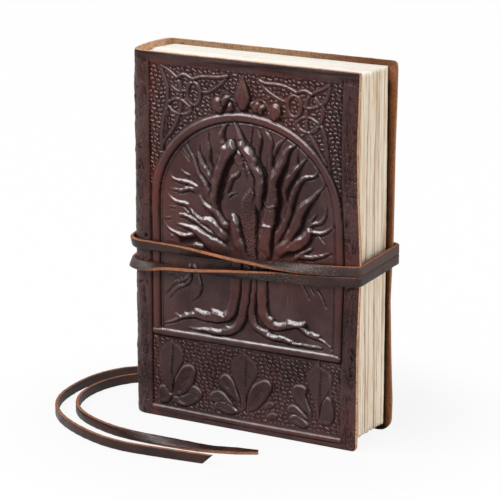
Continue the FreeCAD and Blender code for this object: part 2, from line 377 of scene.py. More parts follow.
class Graph(Nodes):
    """The nodes of one material."""

    def __init__(self, name: str) -> None:
        """Start a material with one Principled shader.

        Args:
            name: Name of the material.
        """
        self.material = bpy.data.materials.new(name)
        self.material.use_nodes = True
        super().__init__(self.material.node_tree)
        self.shader = next(n for n in self.tree.nodes if n.type == "BSDF_PRINCIPLED")
        self.coords = self.tree.nodes.new("ShaderNodeTexCoord").outputs["Object"]

    def attribute(self, name: str) -> Socket:
        """A number stored on the vertices."""
        return self.node("ShaderNodeAttribute", output="Fac", attribute_name=name)

    def axis(self, name: str) -> Socket:
        """One coordinate, in metres."""
        return self.node("ShaderNodeSeparateXYZ", output=name, inputs={0: self.coords})

    def stretched(self, scale: Triple, lean: float = 0.0) -> Socket:
        """Object coordinates in metres, scaled and turned about y by an angle in degrees."""
        inputs = {"Vector": self.coords, "Rotation": (0.0, math.radians(lean), 0.0), "Scale": scale}
        return self.node("ShaderNodeMapping", inputs=inputs)

    def noise(self, scale: float, detail: float = 3.0, vector: Socket | None = None, rough: float = 0.5,
              twist: float = 0.0) -> Socket:
        """Cloudy noise, from about 0 to 1."""
        inputs = {"Scale": scale, "Detail": detail, "Roughness": rough, "Distortion": twist}
        return self.node("ShaderNodeTexNoise", inputs=inputs | {"Vector": vector or self.coords})

    def cells(self, scale: float, vector: Socket | None = None, feature: str = "F1") -> Socket:
        """Distance to the nearest of scattered points, or to the edge of its cell."""
        inputs = {"Vector": vector or self.coords, "Scale": scale}
        return self.node("ShaderNodeTexVoronoi", inputs=inputs, feature=feature)

    def spread(self, value: Value, low: float, high: float, out_low: float = 0.0,
               out_high: float = 1.0) -> Socket:
        """Map a range smoothly to another."""
        inputs = {0: value, 1: low, 2: high, 3: out_low, 4: out_high}
        return self.node("ShaderNodeMapRange", inputs=inputs, interpolation_type="SMOOTHSTEP")

    def mix(self, share: Value, a: Value, b: Value) -> Socket:
        """Blend two colours."""
        return self.node("ShaderNodeMix", output=2, inputs={0: share, 6: a, 7: b}, data_type="RGBA")

    def bump(self, height: Value, distance: float, strength: float = 1.0,
             normal: Socket | None = None) -> Socket:
        """Turn a height into a shading normal, over another one if it is given."""
        inputs = {"Height": height, "Distance": distance * MM, "Strength": strength}
        return self.node("ShaderNodeBump", inputs=inputs | ({"Normal": normal} if normal else {}))

    def finish(self, colour: Value, roughness: Value, normal: Socket, **uniform: float) -> Material:
        """Connect the shader.

        Args:
            colour: Base colour.
            roughness: Roughness.
            normal: Bumped normal.
            **uniform: Other inputs of the shader that are the same all over, with _ for spaces.

        Returns:
            The material.
        """
        self.feed(self.shader.inputs["Base Color"], colour)
        self.feed(self.shader.inputs["Roughness"], roughness)
        self.feed(self.shader.inputs["Normal"], normal)
        for key, value in uniform.items():
            self.shader.inputs[key.replace("_", " ")].default_value = value
        return self.material


def rgb(red: int, green: int, blue: int) -> Colour:
    """Turn a display colour of 0 to 255 into the shader's linear one."""
    shares = [channel / 255 for channel in (red, green, blue)]
    return *(s / 12.92 if s <= 0.04045 else ((s + 0.055) / 1.055) ** 2.4 for s in shares), 1.0


@dataclass(frozen=True)
class Beading:
    """The pattern of slanted beads that the mesh and the finish share: pitches in mm, the rest in beads."""

    pitch_x: float = 2.7
    pitch_z: float = 2.0
    swing: Pair = (0.16, 0.83)
    ripple: Triple = (0.12, 2.1, 0.7)
    stagger: float = 0.5
    sway: Triple = (0.3, 1.9, 0.31)
    lean: float = 0.35
    crest: float = 0.26
    steep: float = 4.2
    slope: float = 0.45
    ends: Pair = (0.42, 0.27)


BEADS = Beading()


@dataclass(frozen=True)
class TooledLeather:
    """Dark oiled leather, pressed over a carved block, worn reddish where it stands out."""

    base: Colour = rgb(49, 29, 28)
    # Painted shade: near black, mixed in where low paints shade, along crease lines and between the beads.
    deep: Colour = rgb(8, 4, 4)
    worn: Colour = rgb(92, 44, 36)
    mottled: Colour = rgb(74, 51, 49)
    plain: Colour = rgb(60, 41, 39)
    scratched: Colour = rgb(124, 78, 68)
    pore_scale: float = 1500.0
    crease_scale: float = 620.0
    fold_scale: float = 300.0
    lump_scale: float = 330.0

    @staticmethod
    def beads(g: Graph) -> Socket:
        """Height of the small slanted beads that fill the grounds.

        Args:
            g: The material's nodes.

        Returns:
            0 between the beads to 1 on them.
        """
        x, z = (g.times(g.axis(name), 1 / MM) for name in "XZ")
        swing = g.times(g.sine(g.times(x, BEADS.swing[1])), BEADS.swing[0])
        ripple = g.sine(g.plus(g.times(x, BEADS.ripple[1]), g.times(z, BEADS.ripple[2])))
        rows = g.plus(g.plus(g.math("DIVIDE", z, BEADS.pitch_z), swing), g.times(ripple, BEADS.ripple[0]))
        row = g.math("FLOOR", rows)
        sway = g.sine(g.plus(g.times(row, BEADS.sway[1]), g.times(x, BEADS.sway[2])))
        shifted = g.plus(g.math("DIVIDE", x, BEADS.pitch_x), g.times(row, BEADS.stagger))
        shifted = g.plus(shifted, g.times(sway, BEADS.sway[0]))
        across = g.math("SUBTRACT", g.math("FRACT", shifted), 0.5)
        up = g.math("SUBTRACT", g.math("FRACT", rows), 0.5)
        slant = g.plus(up, g.times(across, BEADS.lean))
        climb = g.times(g.math("SUBTRACT", BEADS.crest, slant), BEADS.steep, clamp=True)
        ends = g.spread(g.math("ABSOLUTE", across), *BEADS.ends)
        return g.times(climb, g.times(g.spread(slant, -BEADS.slope, 0.0), ends))

    def material(self) -> Material:
        """Build the material.

        Returns:
            The material.
        """
        g = Graph("tooled_leather")
        low, rub, creased, beaded = (g.attribute(name) for name in ("low", "rub", "crease", "beads"))
        clouds = g.noise(38.0, 5.0, rough=0.62)
        patches = g.noise(12.0, 3.0)
        shade = g.mix(g.spread(clouds, 0.38, 0.64), self.base, self.mottled)
        share = g.times(rub, g.spread(patches, 0.3, 0.62, 0.35, 1.0), clamp=True)
        shade = g.mix(share, shade, self.worn)
        shade = g.mix(g.times(g.attribute("plain"), 0.6), shade, self.plain)
        # Painted shade: low darkens recesses, steep sides and the lower right of raised forms; it also
        # carries the head band's dark streaks.
        shade = g.mix(g.times(low, 0.84, clamp=True), shade, self.deep)
        scratch = g.spread(g.noise(620.0, 1.0, g.stretched((1.0, 1.0, 0.06), 52.0)), 0.66, 0.74)
        scratch = g.times(scratch, g.spread(g.noise(33.0, 2.0), 0.48, 0.6, 0.0, 0.3))
        scratch = g.times(scratch, g.spread(g.axis("Z"), 0.166, 0.16))
        shade = g.mix(scratch, shade, self.scratched)
        pores = g.cells(self.pore_scale)
        fine = g.noise(1900.0, 2.0)
        creases = g.cells(self.crease_scale, g.stretched((1.0, 1.0, 0.33), 12.0), "DISTANCE_TO_EDGE")
        crease_height = g.times(g.spread(creases, 0.0, 0.16), creased)
        fold = g.cells(self.fold_scale, g.stretched((1.0, 1.0, 0.28), -9.0), "DISTANCE_TO_EDGE")
        lines = g.math("MAXIMUM", g.spread(fold, 0.05, 0.0), g.times(g.spread(creases, 0.07, 0.0), 0.6))
        broken = g.spread(g.noise(90.0, 3.0), 0.42, 0.58)
        lines = g.times(g.times(g.times(lines, broken), creased), 0.8)
        # Painted shade: crease and fold lines are darkened towards near black.
        shade = g.mix(lines, shade, self.deep)
        beads = g.times(self.beads(g), beaded)
        pebbles = g.times(g.spread(g.cells(760.0), 0.5, 0.1), g.attribute("pebbles"))
        # Painted shade: the ground between the beads is darkened.
        between = g.times(g.math("SUBTRACT", beaded, beads), 0.85, clamp=True)
        shade = g.mix(g.times(between, 0.62), shade, self.deep)
        lumps = g.noise(self.lump_scale, 1.5, rough=0.4)
        normal = g.bump(g.plus(g.times(pores, 0.5), fine), 0.008, 0.7)
        normal = g.bump(lumps, 0.08, 0.8, normal)
        normal = g.bump(g.math("SUBTRACT", g.times(crease_height, 0.5), lines), 0.5, 0.9, normal)
        normal = g.bump(g.plus(g.times(beads, 0.55), pebbles), 0.5, 1.0, normal)
        rough = g.spread(g.noise(160.0, 4.0), 0.3, 0.7, 0.20, 0.32)
        rough = g.plus(rough, g.times(low, 0.3), clamp=True)
        rough = g.plus(rough, g.times(creased, 0.12), clamp=True)
        # Painted highlight: gloss is raised on upward-facing slopes, where the lamp above gives highlights,
        # and on the beads.
        shine = g.math("MAXIMUM", g.attribute("painted_highlight_gloss"), g.times(beads, 0.8))
        gloss = g.spread(shine, 0.0, 1.0, 0.22, 1.0)
        # Gloss is lowered with the painted shade, in the low places and between the beads.
        dull = g.math("SUBTRACT", 1.0, g.math("MAXIMUM", g.times(low, 0.85), between), clamp=True)
        g.feed(g.shader.inputs["Specular IOR Level"], g.times(gloss, dull))
        return g.finish(shade, rough, normal, IOR=1.57)


@dataclass(frozen=True)
class Suede:
    """The flesh side: matt, fibrous, tan."""

    name: str
    light: Colour
    dark: Colour
    grain: float = 900.0
    fore_and_back_darkening: float = 0.0

    def material(self) -> Material:
        """Build the material.

        Returns:
            The material.
        """
        g = Graph(self.name)
        fibres = g.noise(self.grain, 4.0, rough=0.75)
        clouds = g.noise(120.0, 4.0, rough=0.6)
        shade = g.mix(g.spread(clouds, 0.35, 0.75, 0.0, 0.4), self.light, self.dark)
        place = g.plus(g.axis("X"), g.times(g.axis("Y"), 1.5))
        # Darker towards the fore-edge and the back.
        shade = g.mix(g.spread(place, 0.0, 0.08, 0.0, self.fore_and_back_darkening), shade, self.dark)
        shade = g.mix(g.spread(fibres, 0.5, 0.62, 0.0, 0.65), shade, self.dark)
        return g.finish(shade, 0.9, g.bump(fibres, 0.12, 0.8), Specular_IOR_Level=0.2)


@dataclass(frozen=True)
class CoverFlesh:
    """Inside of the cover: tan suede near the head, darker towards the fore-edge, and below it brown, painted
    shade where the inside lies behind the pages, lighter along the outer fore-edge.
    """

    tan: Colour = rgb(246, 200, 160)
    brown: Colour = rgb(54, 29, 18)
    worn: Colour = rgb(178, 116, 70)
    fore_edge_tan: Colour = rgb(150, 84, 48)
    fibre: Colour = rgb(78, 42, 26)

    def material(self) -> Material:
        """Build the material.

        Returns:
            The material.
        """
        g = Graph("cover_flesh")
        uneven = g.times(g.math("SUBTRACT", g.noise(140.0, 3.0), 0.5), 0.008)
        # Darker towards the fore-edge.
        tan = g.mix(g.spread(g.axis("X"), -0.01, 0.055, 0.0, 0.85), self.tan, self.fore_edge_tan)
        edge = g.plus(g.axis("X"), g.times(uneven, 0.2))
        brown = g.mix(g.spread(edge, 0.0586, 0.0628), self.brown, self.worn)
        # Painted shade: brown below the head band, where the inside of the cover lies in the pages' shade;
        # tan above it.
        shade = g.mix(g.spread(g.plus(g.axis("Z"), uneven), 0.166, 0.174), brown, tan)
        fibres = g.noise(950.0, 4.0, rough=0.75)
        shade = g.mix(g.spread(fibres, 0.5, 0.64, 0.0, 0.6), shade, self.fibre)
        return g.finish(shade, 0.9, g.bump(fibres, 0.12, 0.8), Specular_IOR_Level=0.2)


@dataclass(frozen=True)
class StripGrain:
    """Smooth face of the thong, dull, with scuffs in places whose pale specks are partly painted glints."""

    base: Colour = rgb(58, 30, 24)
    mottled: Colour = rgb(34, 20, 17)
    scuff_and_glint_colour: Colour = rgb(178, 158, 148)

    def material(self) -> Material:
        """Build the material.

        Returns:
            The material.
        """
        g = Graph("thong_grain")
        fine = g.noise(1500.0, 3.0, rough=0.65)
        clouds = g.noise(70.0, 3.0)
        shade = g.mix(g.spread(clouds, 0.35, 0.65), self.base, self.mottled)
        scuff_glint = g.spread(g.attribute("scuff_glint"), 0.2, 1.2)
        # Pale specks: scuffs, partly painted glints.
        specks = g.times(g.spread(fine, 0.55, 0.67), scuff_glint, clamp=True)
        shade = g.mix(specks, shade, self.scuff_and_glint_colour)
        rough = g.spread(g.noise(260.0, 3.0), 0.3, 0.7, 0.29, 0.45)
        normal = g.bump(fine, 0.06, 0.8)
        return g.finish(shade, rough, normal, Specular_IOR_Level=0.34)


@dataclass(frozen=True)
class StripFlesh:
    """Rough face of the thong: brown, grey and speckled where it has been rubbed, the pale specks partly
    painted glints.
    """

    base: Colour = rgb(60, 38, 31)
    dyed: Colour = rgb(44, 26, 22)
    scuff_and_glint_colour: Colour = rgb(178, 158, 148)

    def material(self) -> Material:
        """Build the material.

        Returns:
            The material.
        """
        g = Graph("thong_flesh")
        fibres = g.noise(2400.0, 4.0, rough=0.7)
        scuff_glint = g.attribute("scuff_glint")
        shade = g.mix(g.spread(scuff_glint, 0.2, 0.5), self.base, self.dyed)
        # Pale specks: rubbed fibres, partly painted glints.
        specks = g.times(g.spread(fibres, 0.55, 0.67), g.spread(scuff_glint, 0.3, 1.0, 0.06, 0.9), clamp=True)
        shade = g.mix(specks, shade, self.scuff_and_glint_colour)
        return g.finish(shade, 0.46, g.bump(fibres, 0.08, 0.8), Specular_IOR_Level=0.36)


@dataclass(frozen=True)
class Paper:
    """Cream handmade paper, seen mostly on its torn edges."""

    page: Colour = rgb(250, 247, 241)
    mottled: Colour = rgb(244, 238, 226)
    toned: Colour = rgb(236, 218, 190)
    # Painted shade for the gaps between bundles of leaves.
    gap: Colour = rgb(150, 104, 66)
    shade: Colour = rgb(192, 154, 110)

    def material(self) -> Material:
        """Build the material.

        Returns:
            The material.
        """
        g = Graph("page_edges")
        leaf = g.noise(1.0, 2.0, g.stretched((36.0, 2600.0, 26.0)), 0.6, 0.8)
        broad = g.noise(1.0, 3.0, g.stretched((20.0, 620.0, 16.0)), 0.6, 0.7)
        colour = g.mix(g.spread(broad, 0.3, 0.75), self.page, self.mottled)
        toned = g.attribute("toned")
        colour = g.mix(g.times(toned, 0.6), colour, self.toned)
        streaks = g.math("MAXIMUM", g.spread(leaf, 0.48, 0.72), g.spread(broad, 0.52, 0.68))
        colour = g.mix(g.times(streaks, g.spread(toned, 0.1, 1.0, 0.25, 0.75)), colour, self.shade)
        # Painted shade: low darkens the gaps between bundles of leaves on the fore-edge, and the spine side a
        # little.
        colour = g.mix(g.times(g.attribute("low"), 0.8, clamp=True), colour, self.gap)
        normal = g.bump(leaf, 0.15, 0.7)
        return g.finish(colour, 0.85, normal, Specular_IOR_Level=0.2)


@dataclass(frozen=True)
class WaxedThread:
    """Twisted waxed linen thread."""

    light: Colour = rgb(196, 172, 134)
    dark: Colour = rgb(128, 100, 68)

    def material(self) -> Material:
        """Build the material.

        Returns:
            The material.
        """
        g = Graph("waxed_thread")
        slope = g.plus(g.axis("Z"), g.times(g.axis("Y"), 1.6))
        plies = g.math("ABSOLUTE", g.sine(g.times(slope, 4200.0)))
        fuzz = g.noise(2600.0, 2.0)
        shade = g.mix(g.spread(plies, 0.0, 0.6), self.dark, self.light)
        normal = g.bump(g.plus(plies, g.times(fuzz, 0.3)), 0.12, 0.9)
        return g.finish(shade, 0.7, normal, Specular_IOR_Level=0.3)


# ---- the book's own sizes


@dataclass
class Book:
    """Sizes read from the frame, in millimetres, with the folds that the cover is bent round."""

    leather: float = 2.4
    bow_radius: float = 60.0
    bow_centre: float = 4.0
    front_fold: float = 8.6
    back_fold: float = 4.5

    def __post_init__(self) -> None:
        """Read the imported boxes."""
        low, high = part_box("leather_cover")
        self.x_spine, self.x_fore = low.x / MM, high.x / MM
        self.half = high.y / MM
        self.height = high.z / MM
        low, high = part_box("page_block")
        self.page_low = tuple(v / MM for v in low)
        self.page_high = tuple(v / MM for v in high)

    def fold(self, side: int) -> tuple[float, float, float]:
        """Centre and radius of the spine's corner.

        Args:
            side: -1 at the front cover, +1 at the back.

        Returns:
            X and y of the centre, and the outside radius.
        """
        radius = self.front_fold if side < 0 else self.back_fold
        y = side * (self.half - radius)
        reach = math.sqrt((self.bow_radius - radius) ** 2 - (y - self.bow_centre) ** 2)
        return self.x_spine + self.bow_radius - reach, y, radius

    def stretches(self) -> list[tuple[float, Callable[[Array], tuple[Array, Array, Array]]]]:
        """The cover's outer line from the front fore-edge round the spine to the back fore-edge.

        Returns:
            Pairs of a stretch's length and a function from distance along it to x, y and direction outwards.
        """
        fx, fy, fr = self.fold(-1)
        bx, by, br = self.fold(1)
        cx, cy = self.x_spine + self.bow_radius, self.bow_centre
        turn_f = 2 * math.pi + math.atan2(fy - cy, fx - cx)
        turn_b = math.atan2(by - cy, bx - cx)
        down, up = 1.5 * math.pi, 0.5 * math.pi

        def flat(x0: float, direction: int, y: float, facing: float) -> Callable:
            """A flat stretch along x."""
            return lambda s: (x0 + direction * s, np.full_like(s, y), np.full_like(s, facing))

        def arc(x: float, y: float, radius: float, start: float) -> Callable:
            """A round stretch, turning from start."""
            return lambda s: (x + radius * np.cos(start - s / radius),
                              y + radius * np.sin(start - s / radius), start - s / radius)

        return [
            (self.x_fore - fx, flat(self.x_fore, -1, -self.half, down)),
            ((down - turn_f) * fr, arc(fx, fy, fr, down)),
            ((turn_f - turn_b) * self.bow_radius, arc(cx, cy, self.bow_radius, turn_f)),
            ((turn_b - up) * br, arc(bx, by, br, turn_b)),
            (self.x_fore - bx, flat(bx, 1, self.half, up)),
        ]

    def outline(self, s: Array) -> tuple[Array, Array, Array, Array]:
        """Points on the cover's outer line.

        Args:
            s: Distances from the front fore-edge.

        Returns:
            X, y, and the x and y of the direction outwards.
        """
        s = np.asarray(s, float)
        x, y, facing = (np.zeros_like(s) for _ in range(3))
        start = 0.0
        parts = self.stretches()
        for k, (length, at) in enumerate(parts):
            last = k == len(parts) - 1
            inside = (s >= start - 1e-9) & ((s <= start + length + 1e-6) if last else (s < start + length))
            x[inside], y[inside], facing[inside] = at(s[inside] - start)
            start += length
        return x, y, np.cos(facing), np.sin(facing)

    def total(self) -> float:
        """Length of the cover's outer line."""
        return sum(length for length, _ in self.stretches())


# ---- tooling on the front cover


@dataclass(frozen=True)
class Stroke:
    """One raised form: a line with a width that changes along it."""

    widths: tuple[float, ...]
    points: tuple[Pair, ...]

    def line(self) -> tuple[Array, Array]:
        """Samples along the smooth line, and the radius at each."""
        samples, place = through(self.points, 0.7)
        return samples, np.interp(place, np.linspace(0, place[-1], len(self.widths)), self.widths) / 2


@dataclass(frozen=True)
class Leaf:
    """A raised leaf or lobe: how far it stands out, and its closed outline."""

    rise: float
    points: tuple[Pair, ...]


def strokes(text: str) -> tuple[Stroke, ...]:
    """Read strokes from text.

    Args:
        text: For each stroke its widths, a colon and its points as x,z, in millimetres.

    Returns:
        The strokes.
    """
    made: list[Stroke] = []
    widths: list[float] = []
    for word in text.split():
        if "," in word:
            x, z = word.split(",")
            made[-1] = Stroke(made[-1].widths, made[-1].points + ((float(x), float(z)),))
            continue
        widths.append(float(word.rstrip(":")))
        if word.endswith(":"):
            made.append(Stroke(tuple(widths), ()))
            widths = []
    return tuple(made)


def leaves(text: str) -> tuple[Leaf, ...]:
    """Read leaves from text, with each one's rise in place of widths."""
    return tuple(Leaf(form.widths[0], form.points) for form in strokes(text))


LEFT_KNOT = strokes("""
1.4: -20.5,161.2 -17,161.5 -13,163.5 -9,166.7 -6.3,170
1.4: -42.5,171.5 -41,167.5 -39.5,164 -38.6,161 -38.6,157 -38.5,153.5
1.4: -33.6,166.6 -31.6,163 -31.4,158 -31.7,149.7
1.2 1.6: -42.5,171.8 -37.5,169.5 -34,166.9
1.6: -34,166.7 -30,168.6 -25,166.7
1.6: -25,166.9 -20,168.5 -12,168.9 -6.3,170
1.4: -36.5,162.4 -33,160.5 -28.7,161
1.4: -24.5,165.4 -26.3,164.7 -27.6,162.7 -28.1,160 -27.6,157.3 -26.3,155.3 -24.5,154.6 -22.7,155.3
    -21.4,157.3 -20.9,160 -21.4,162.7 -22.7,164.7 -24.5,165.4
1.4: -39,153.6 -36,150.6 -31,149.7 -26.4,151.3 -26,154
1.4: -38.7,154.3 -36,156.2 -32,156.7 -26.3,153.4
1.4: -32.5,149.5 -34,145.5 -37,140.5 -40.5,137 -42,132.5
1.4: -39.4,151.5 -41.4,145 -42,138 -42,132
0.9: -39,150 -40,143 -40.5,138.5
""")
RIGHT_KNOT = strokes("""
1.4: 25,161 22,161.8 18,163.5 14,166 11,169.5
1.4: 47.5,170.5 47,166 45,162.5 43.2,161.2 40.3,164.2
1.4: 37.9,165.8 35.8,162.5 35.6,158 36,149.5
1.2 1.6: 47.5,171 44,168.7 41,167.5 38.3,165.8
1.6: 38.3,165.8 34.5,167.2 30.2,165.8
1.6: 30.2,166 25,168 20,168.7 13,168.8 10.8,169.8
1.4: 33.5,160 37,159.3 41.5,160.5
1.4: 29.3,164.5 27.5,163.8 26.2,162 25.7,159.5 26.2,157 27.5,155.2 29.3,154.5 31.1,155.2 32.4,157
    32.9,159.5 32.4,162 31.1,163.8 29.3,164.5
1.4: 43.6,162 44.5,158 43,153 39,149.2 36,148
1.4: 30.5,152.5 32,149.5 36,148 40.5,149.3 42.6,152.5
1.4: 30.3,152.2 33,154.4 37,155 42,152.8
1.4: 43.3,151.5 45.5,147 46.5,142 47.3,136 48,131.5
1.4: 36.5,148.3 39.5,144 43,138.5 46.4,134
""")
BUDS = strokes("""
1 1.8 5.6 8.4 5.6: 2,170.5 2,168.5 2,164.5 2,160.5 2,157.5
5 6.2 4: -11.5,157.5 -11,155.5 -10.5,154
1 3.2 4.2 2.6: -4.5,161 -6.5,160 -8,158.5 -8.5,156.5
1.1: -5,159.7 -3.5,159.2 -1.5,158.3
3 3.6: -5,156.5 -5,155
0.8: -9.5,160 -9,161.5 -7,162.2 -5.5,161.7
1.2 2.6 3.4: 11,160.5 9,159 7,158
3.4 4.4: 10,158.5 9,156.5
2.6 3.2 2: 13,157.5 11.5,156.5 11.5,154.5
1: 11.5,160.5 13,160 14.5,158.5 15.5,157 17,156
0.9: 13,161.5 15.5,161.5
5 6.2 4.2: 19.5,157.5 19.5,155.5 19,153.5
0.9: 20.5,153 23,154 25,154.5
""")
BRANCHES = strokes("""
0.8 2.2 2.6: -38,119.7 -35,118.2 -30,117.8 -26,117 -21,114.6
0.8 2 2.4: -38,113.6 -34.5,113.3 -31.5,113 -26.5,115 -22,113.6
0.8 2 2.4: -39,110.5 -36,108.5 -33,107.5 -28.5,106.8 -26.5,105
0.7 1.2: -38.5,104.5 -34.5,105
0.8 1.4: -30.3,104.7 -27,102.3
1.6 2.8 2.4: -32.5,101.5 -29,101.5 -25,100 -20.5,98 -16,95.5 -12.5,94 -6.5,91
1 2.2 4.6 5.2 3.6: -27.5,105.5 -25,103 -21,100.5 -16.5,100 -12.5,97.6 -9,94.6 -5.5,92
0.7 1.3: -40.3,99.2 -36.8,99.4
0.8 2.2 2.4: -41.5,97 -38.5,94 -34.5,92.3 -31,91.5 -27,92 -23.5,94
1.2 2.8 5.2 7 5.4: -33.5,96.6 -28.5,96.3 -24,95 -20,93 -15.5,90 -10.5,88.4 -6,86
0.7 1.3: -39,91 -36,90
3.4 4: -23.5,87.2 -19.5,86.3
1.2 3.4 4: -21.3,111.5 -19,108.2 -16,106.6 -12.5,105 -9,100.6 -4.5,97.6
0.7 1.5: -32.5,123.7 -29,121.8 -25.5,120.3
0.6 1.3: -31.4,131.4 -28.5,129 -26.5,126.5
0.6 1.2: -31,134 -28,130.6 -26.6,128.5
0.8 1.8 3.2 4.4: -28.5,136 -26.5,132 -24.5,128.5 -23.2,125.5 -21.3,121.5 -18.5,118 -16.5,113.5 -14,108
0.8 1.6 2.6 2.4: -17.2,142.4 -17,138 -16.2,133 -16.5,129 -15.4,124.5 -14,120.5
0.8 2 4.4 3.8: -21.7,136 -22,132.5 -21.4,130.2 -19.6,126.2 -17,122.6 -13.2,118
0.7 2.2 2.6 2.2: 0.5,127 -1,124.5 -4,122 -5.5,119 -8,113
0.7 1.7: -1.8,115.7 -4,115 -6.2,112.8
0.6 1.4: 6.6,146.8 6,142 5,138.5
0.7 1.6: 31,139.7 30.5,136 30.5,131.5
0.8 2 3: 24.8,144.8 21.5,141.5 19.5,138.6 17,134.5
0.8 1.8 2.8 3.6: 13.8,146.8 16,144.3 16.9,141 16.6,136.5 16.4,131 17.6,125
0.7 2.6 4 2.8 1.4: 35.8,136 33,133 30,130 28,127 24.6,121.5 24,118.5 25,114.5 25.5,108.5
0.9 2.6 3.2 4 5: 41.7,130.3 39.5,128 34,126.4 31.3,123.3 29.5,120 28,116 26.8,110.5 24,103.5 20.5,97.5
    16.5,91.5
0.6 1.5: 41.2,110.4 39,108 36.5,105.5
0.7 1.8 2.4: 46,114.2 45.5,110 43.5,107 40,105.8 36.3,104.4
0.8 2.2 2.4: 49.8,105.8 46.5,103.4 43,101.8 39,101.6 36.3,102.8
0.7 1.1: 41.6,101 46,96
3.8 6.2 5.4: 37,101.5 34.5,97.3 30.5,95 26.5,94 19,89
1.2 2.6 2.2: 38.5,93.8 33,90.5 29,87.5
0.8 2 2.2: 48,93 44,91.3 36,89.3 31,89.6
0.8 2 4.8 5.4 5: 45.3,124.3 42,121 39.6,118.2 35,114 32.3,109.6 30.3,104.5 27.3,99.5 22.5,94
""")
LIMBS = strokes("""
4 7 6.6 5: 3.5,134 6,129.5 8,124 8.2,117
0.8 2.2 3 3.4: 10,146.8 11,144 11,141 10,136.5 9.5,132
0.8 3 4.6 5.6: -6.3,148.3 -9,144 -9.6,141 -9,137 -8,132
1.2 3.2 5 6: -2.6,149.6 -1,145.5 0.2,141.5 2.8,136
7.6 7.6 6.4 5.2 5: -4.6,136.6 -7.4,133 -10,127.5 -11.6,122.5 -12.5,118.5 -13.5,111 -11.5,104
6 6.8 6.4 6 5: 1.8,138.4 5.4,134.6 8.8,129 11.2,124.5 11.6,119.5 10.6,114 9.6,107
3.4 6.2 7.4 7.6 7.4: -3.4,104.2 -2.2,101 -1.4,97 -0.2,92 1.6,82
1.4 2.6 3.6 5 6 6.4 7.2 8.6 9 8.6 8.6: 29.8,141.2 27,139.8 25.2,137.2 23.6,133.5 21,129 18.5,124 18,119
    17.6,113 15.6,103 14,95.5 12.4,82
""")
CORE = strokes("1.6 5 8.4 9.6 8 6: 6.6,118.6 6.2,115.5 5.2,111 5,104 5.8,96 6.4,84")
WEB = strokes("6 9 8 5: -3,135 1.2,132.6 3.6,128.5 4,123")
HOLLOWS = strokes("""
3.4: -4.4,130 -6.8,124 -8.2,118 -9.2,112
2.4: 13.2,128.5 15,123 14.6,117
3.6: -32,88.4 -26,89 -21,90.6
1.6: -16.6,117 -15.4,112
""")
ROOTS = strokes("""
6 6 5.6 5.6 4.6 2.4 1: -1.5,88 -1.6,74 -3.2,62 -5.6,56.4 -10.6,54.2 -18.9,53.6 -25.1,53.6 -33.5,50.4
    -41,46.9
5.2 5.2 5 4.4 3.2 1: 4.6,88 4,74 2.8,62.3 1.4,56.1 -0.6,51.8 -5.2,48.4 -10.6,47 -18.2,46.9 -27.5,46.5
5.8 6 5.6 4.6 3.6 2.6 1: 12.6,86 12.2,73.9 12.3,65.5 13.2,59.5 15.4,55.6 19.8,54.2 25.9,55.6 31.8,56.4
    36.5,53.4 42.4,51.5 49.6,48.2
3.4 3.4 4.4 4 3 1.8 1: 8.4,88 8.3,74.6 7.4,64.8 6.8,57.4 8.2,53.2 12.5,50.6 19.2,48.6 27.2,47.7
    34.5,46.9 44.4,47.2
""")
KNUCKLES = strokes("""
1.8 2.4: -24.2,56 -18,54.9
2.2 2.6: -14.5,56.7 -7.6,55.8
1.4: -30,53.6 -28,53.2
1.2: -35.4,52.6 -32.8,51.4
1.4: -23.6,47.1 -19,46.9
1.6 2: -16,47.7 -10.8,47.1
1.4: -6.9,50 -4.5,49.7
1.6 2.2: 14.8,58.3 17.3,56.9
2.2: 19.6,55.4 25,55.6
2.2: 26.4,57.4 30.8,56.9 34.4,57.6
1.6: 38,53.9 42.2,52.8
1.4: 11.6,51.5 14.8,50.9
1.5: 18.6,49 23.2,49.1 28.3,48.4
1.1: 32,47.5 36.5,47.4 42.2,47.6
""")
FOLDS = strokes("""
0.8: -4.5,140.5 -3.5,137.5 -1.5,135.5
0.8: -3.5,132.5 0.5,132 5,132.3
0.8: -3,130.4 1,129.6 6.5,130.4
0.8: 0.5,127.6 4,127.2 7.6,128
1.5: 12.6,114 14.4,111.8 17,111.2 21.6,112.2
1.4: 11.2,101.6 14.4,102 19.4,101.2
0.8: -17.5,105.4 -13,102.6 -9.5,99.5
0.8: -20,98.8 -14,96.6 -9.5,93.4
""")
TWIGS = strokes("""
2 1.6 0.9: -27,77 -27.5,70 -30,67.5 -34,65.5 -38.5,60.5
1.8 1.4 0.8: -27.5,72 -31,69.5 -36,67.5 -40.5,62.5
2.6 2.2 1.8 0.8: -24.5,77 -22.5,71.5 -21.5,67 -22.6,63.5 -26,60.5
1.3 0.8: -31,69.5 -35,71.5 -39.5,72
""")
TENDRILS = strokes("""
0.8: 33.5,77 36,73 37.5,70
0.7: 38,76 40,72.8
0.8: 42,75 44.5,71 46.5,67
""")
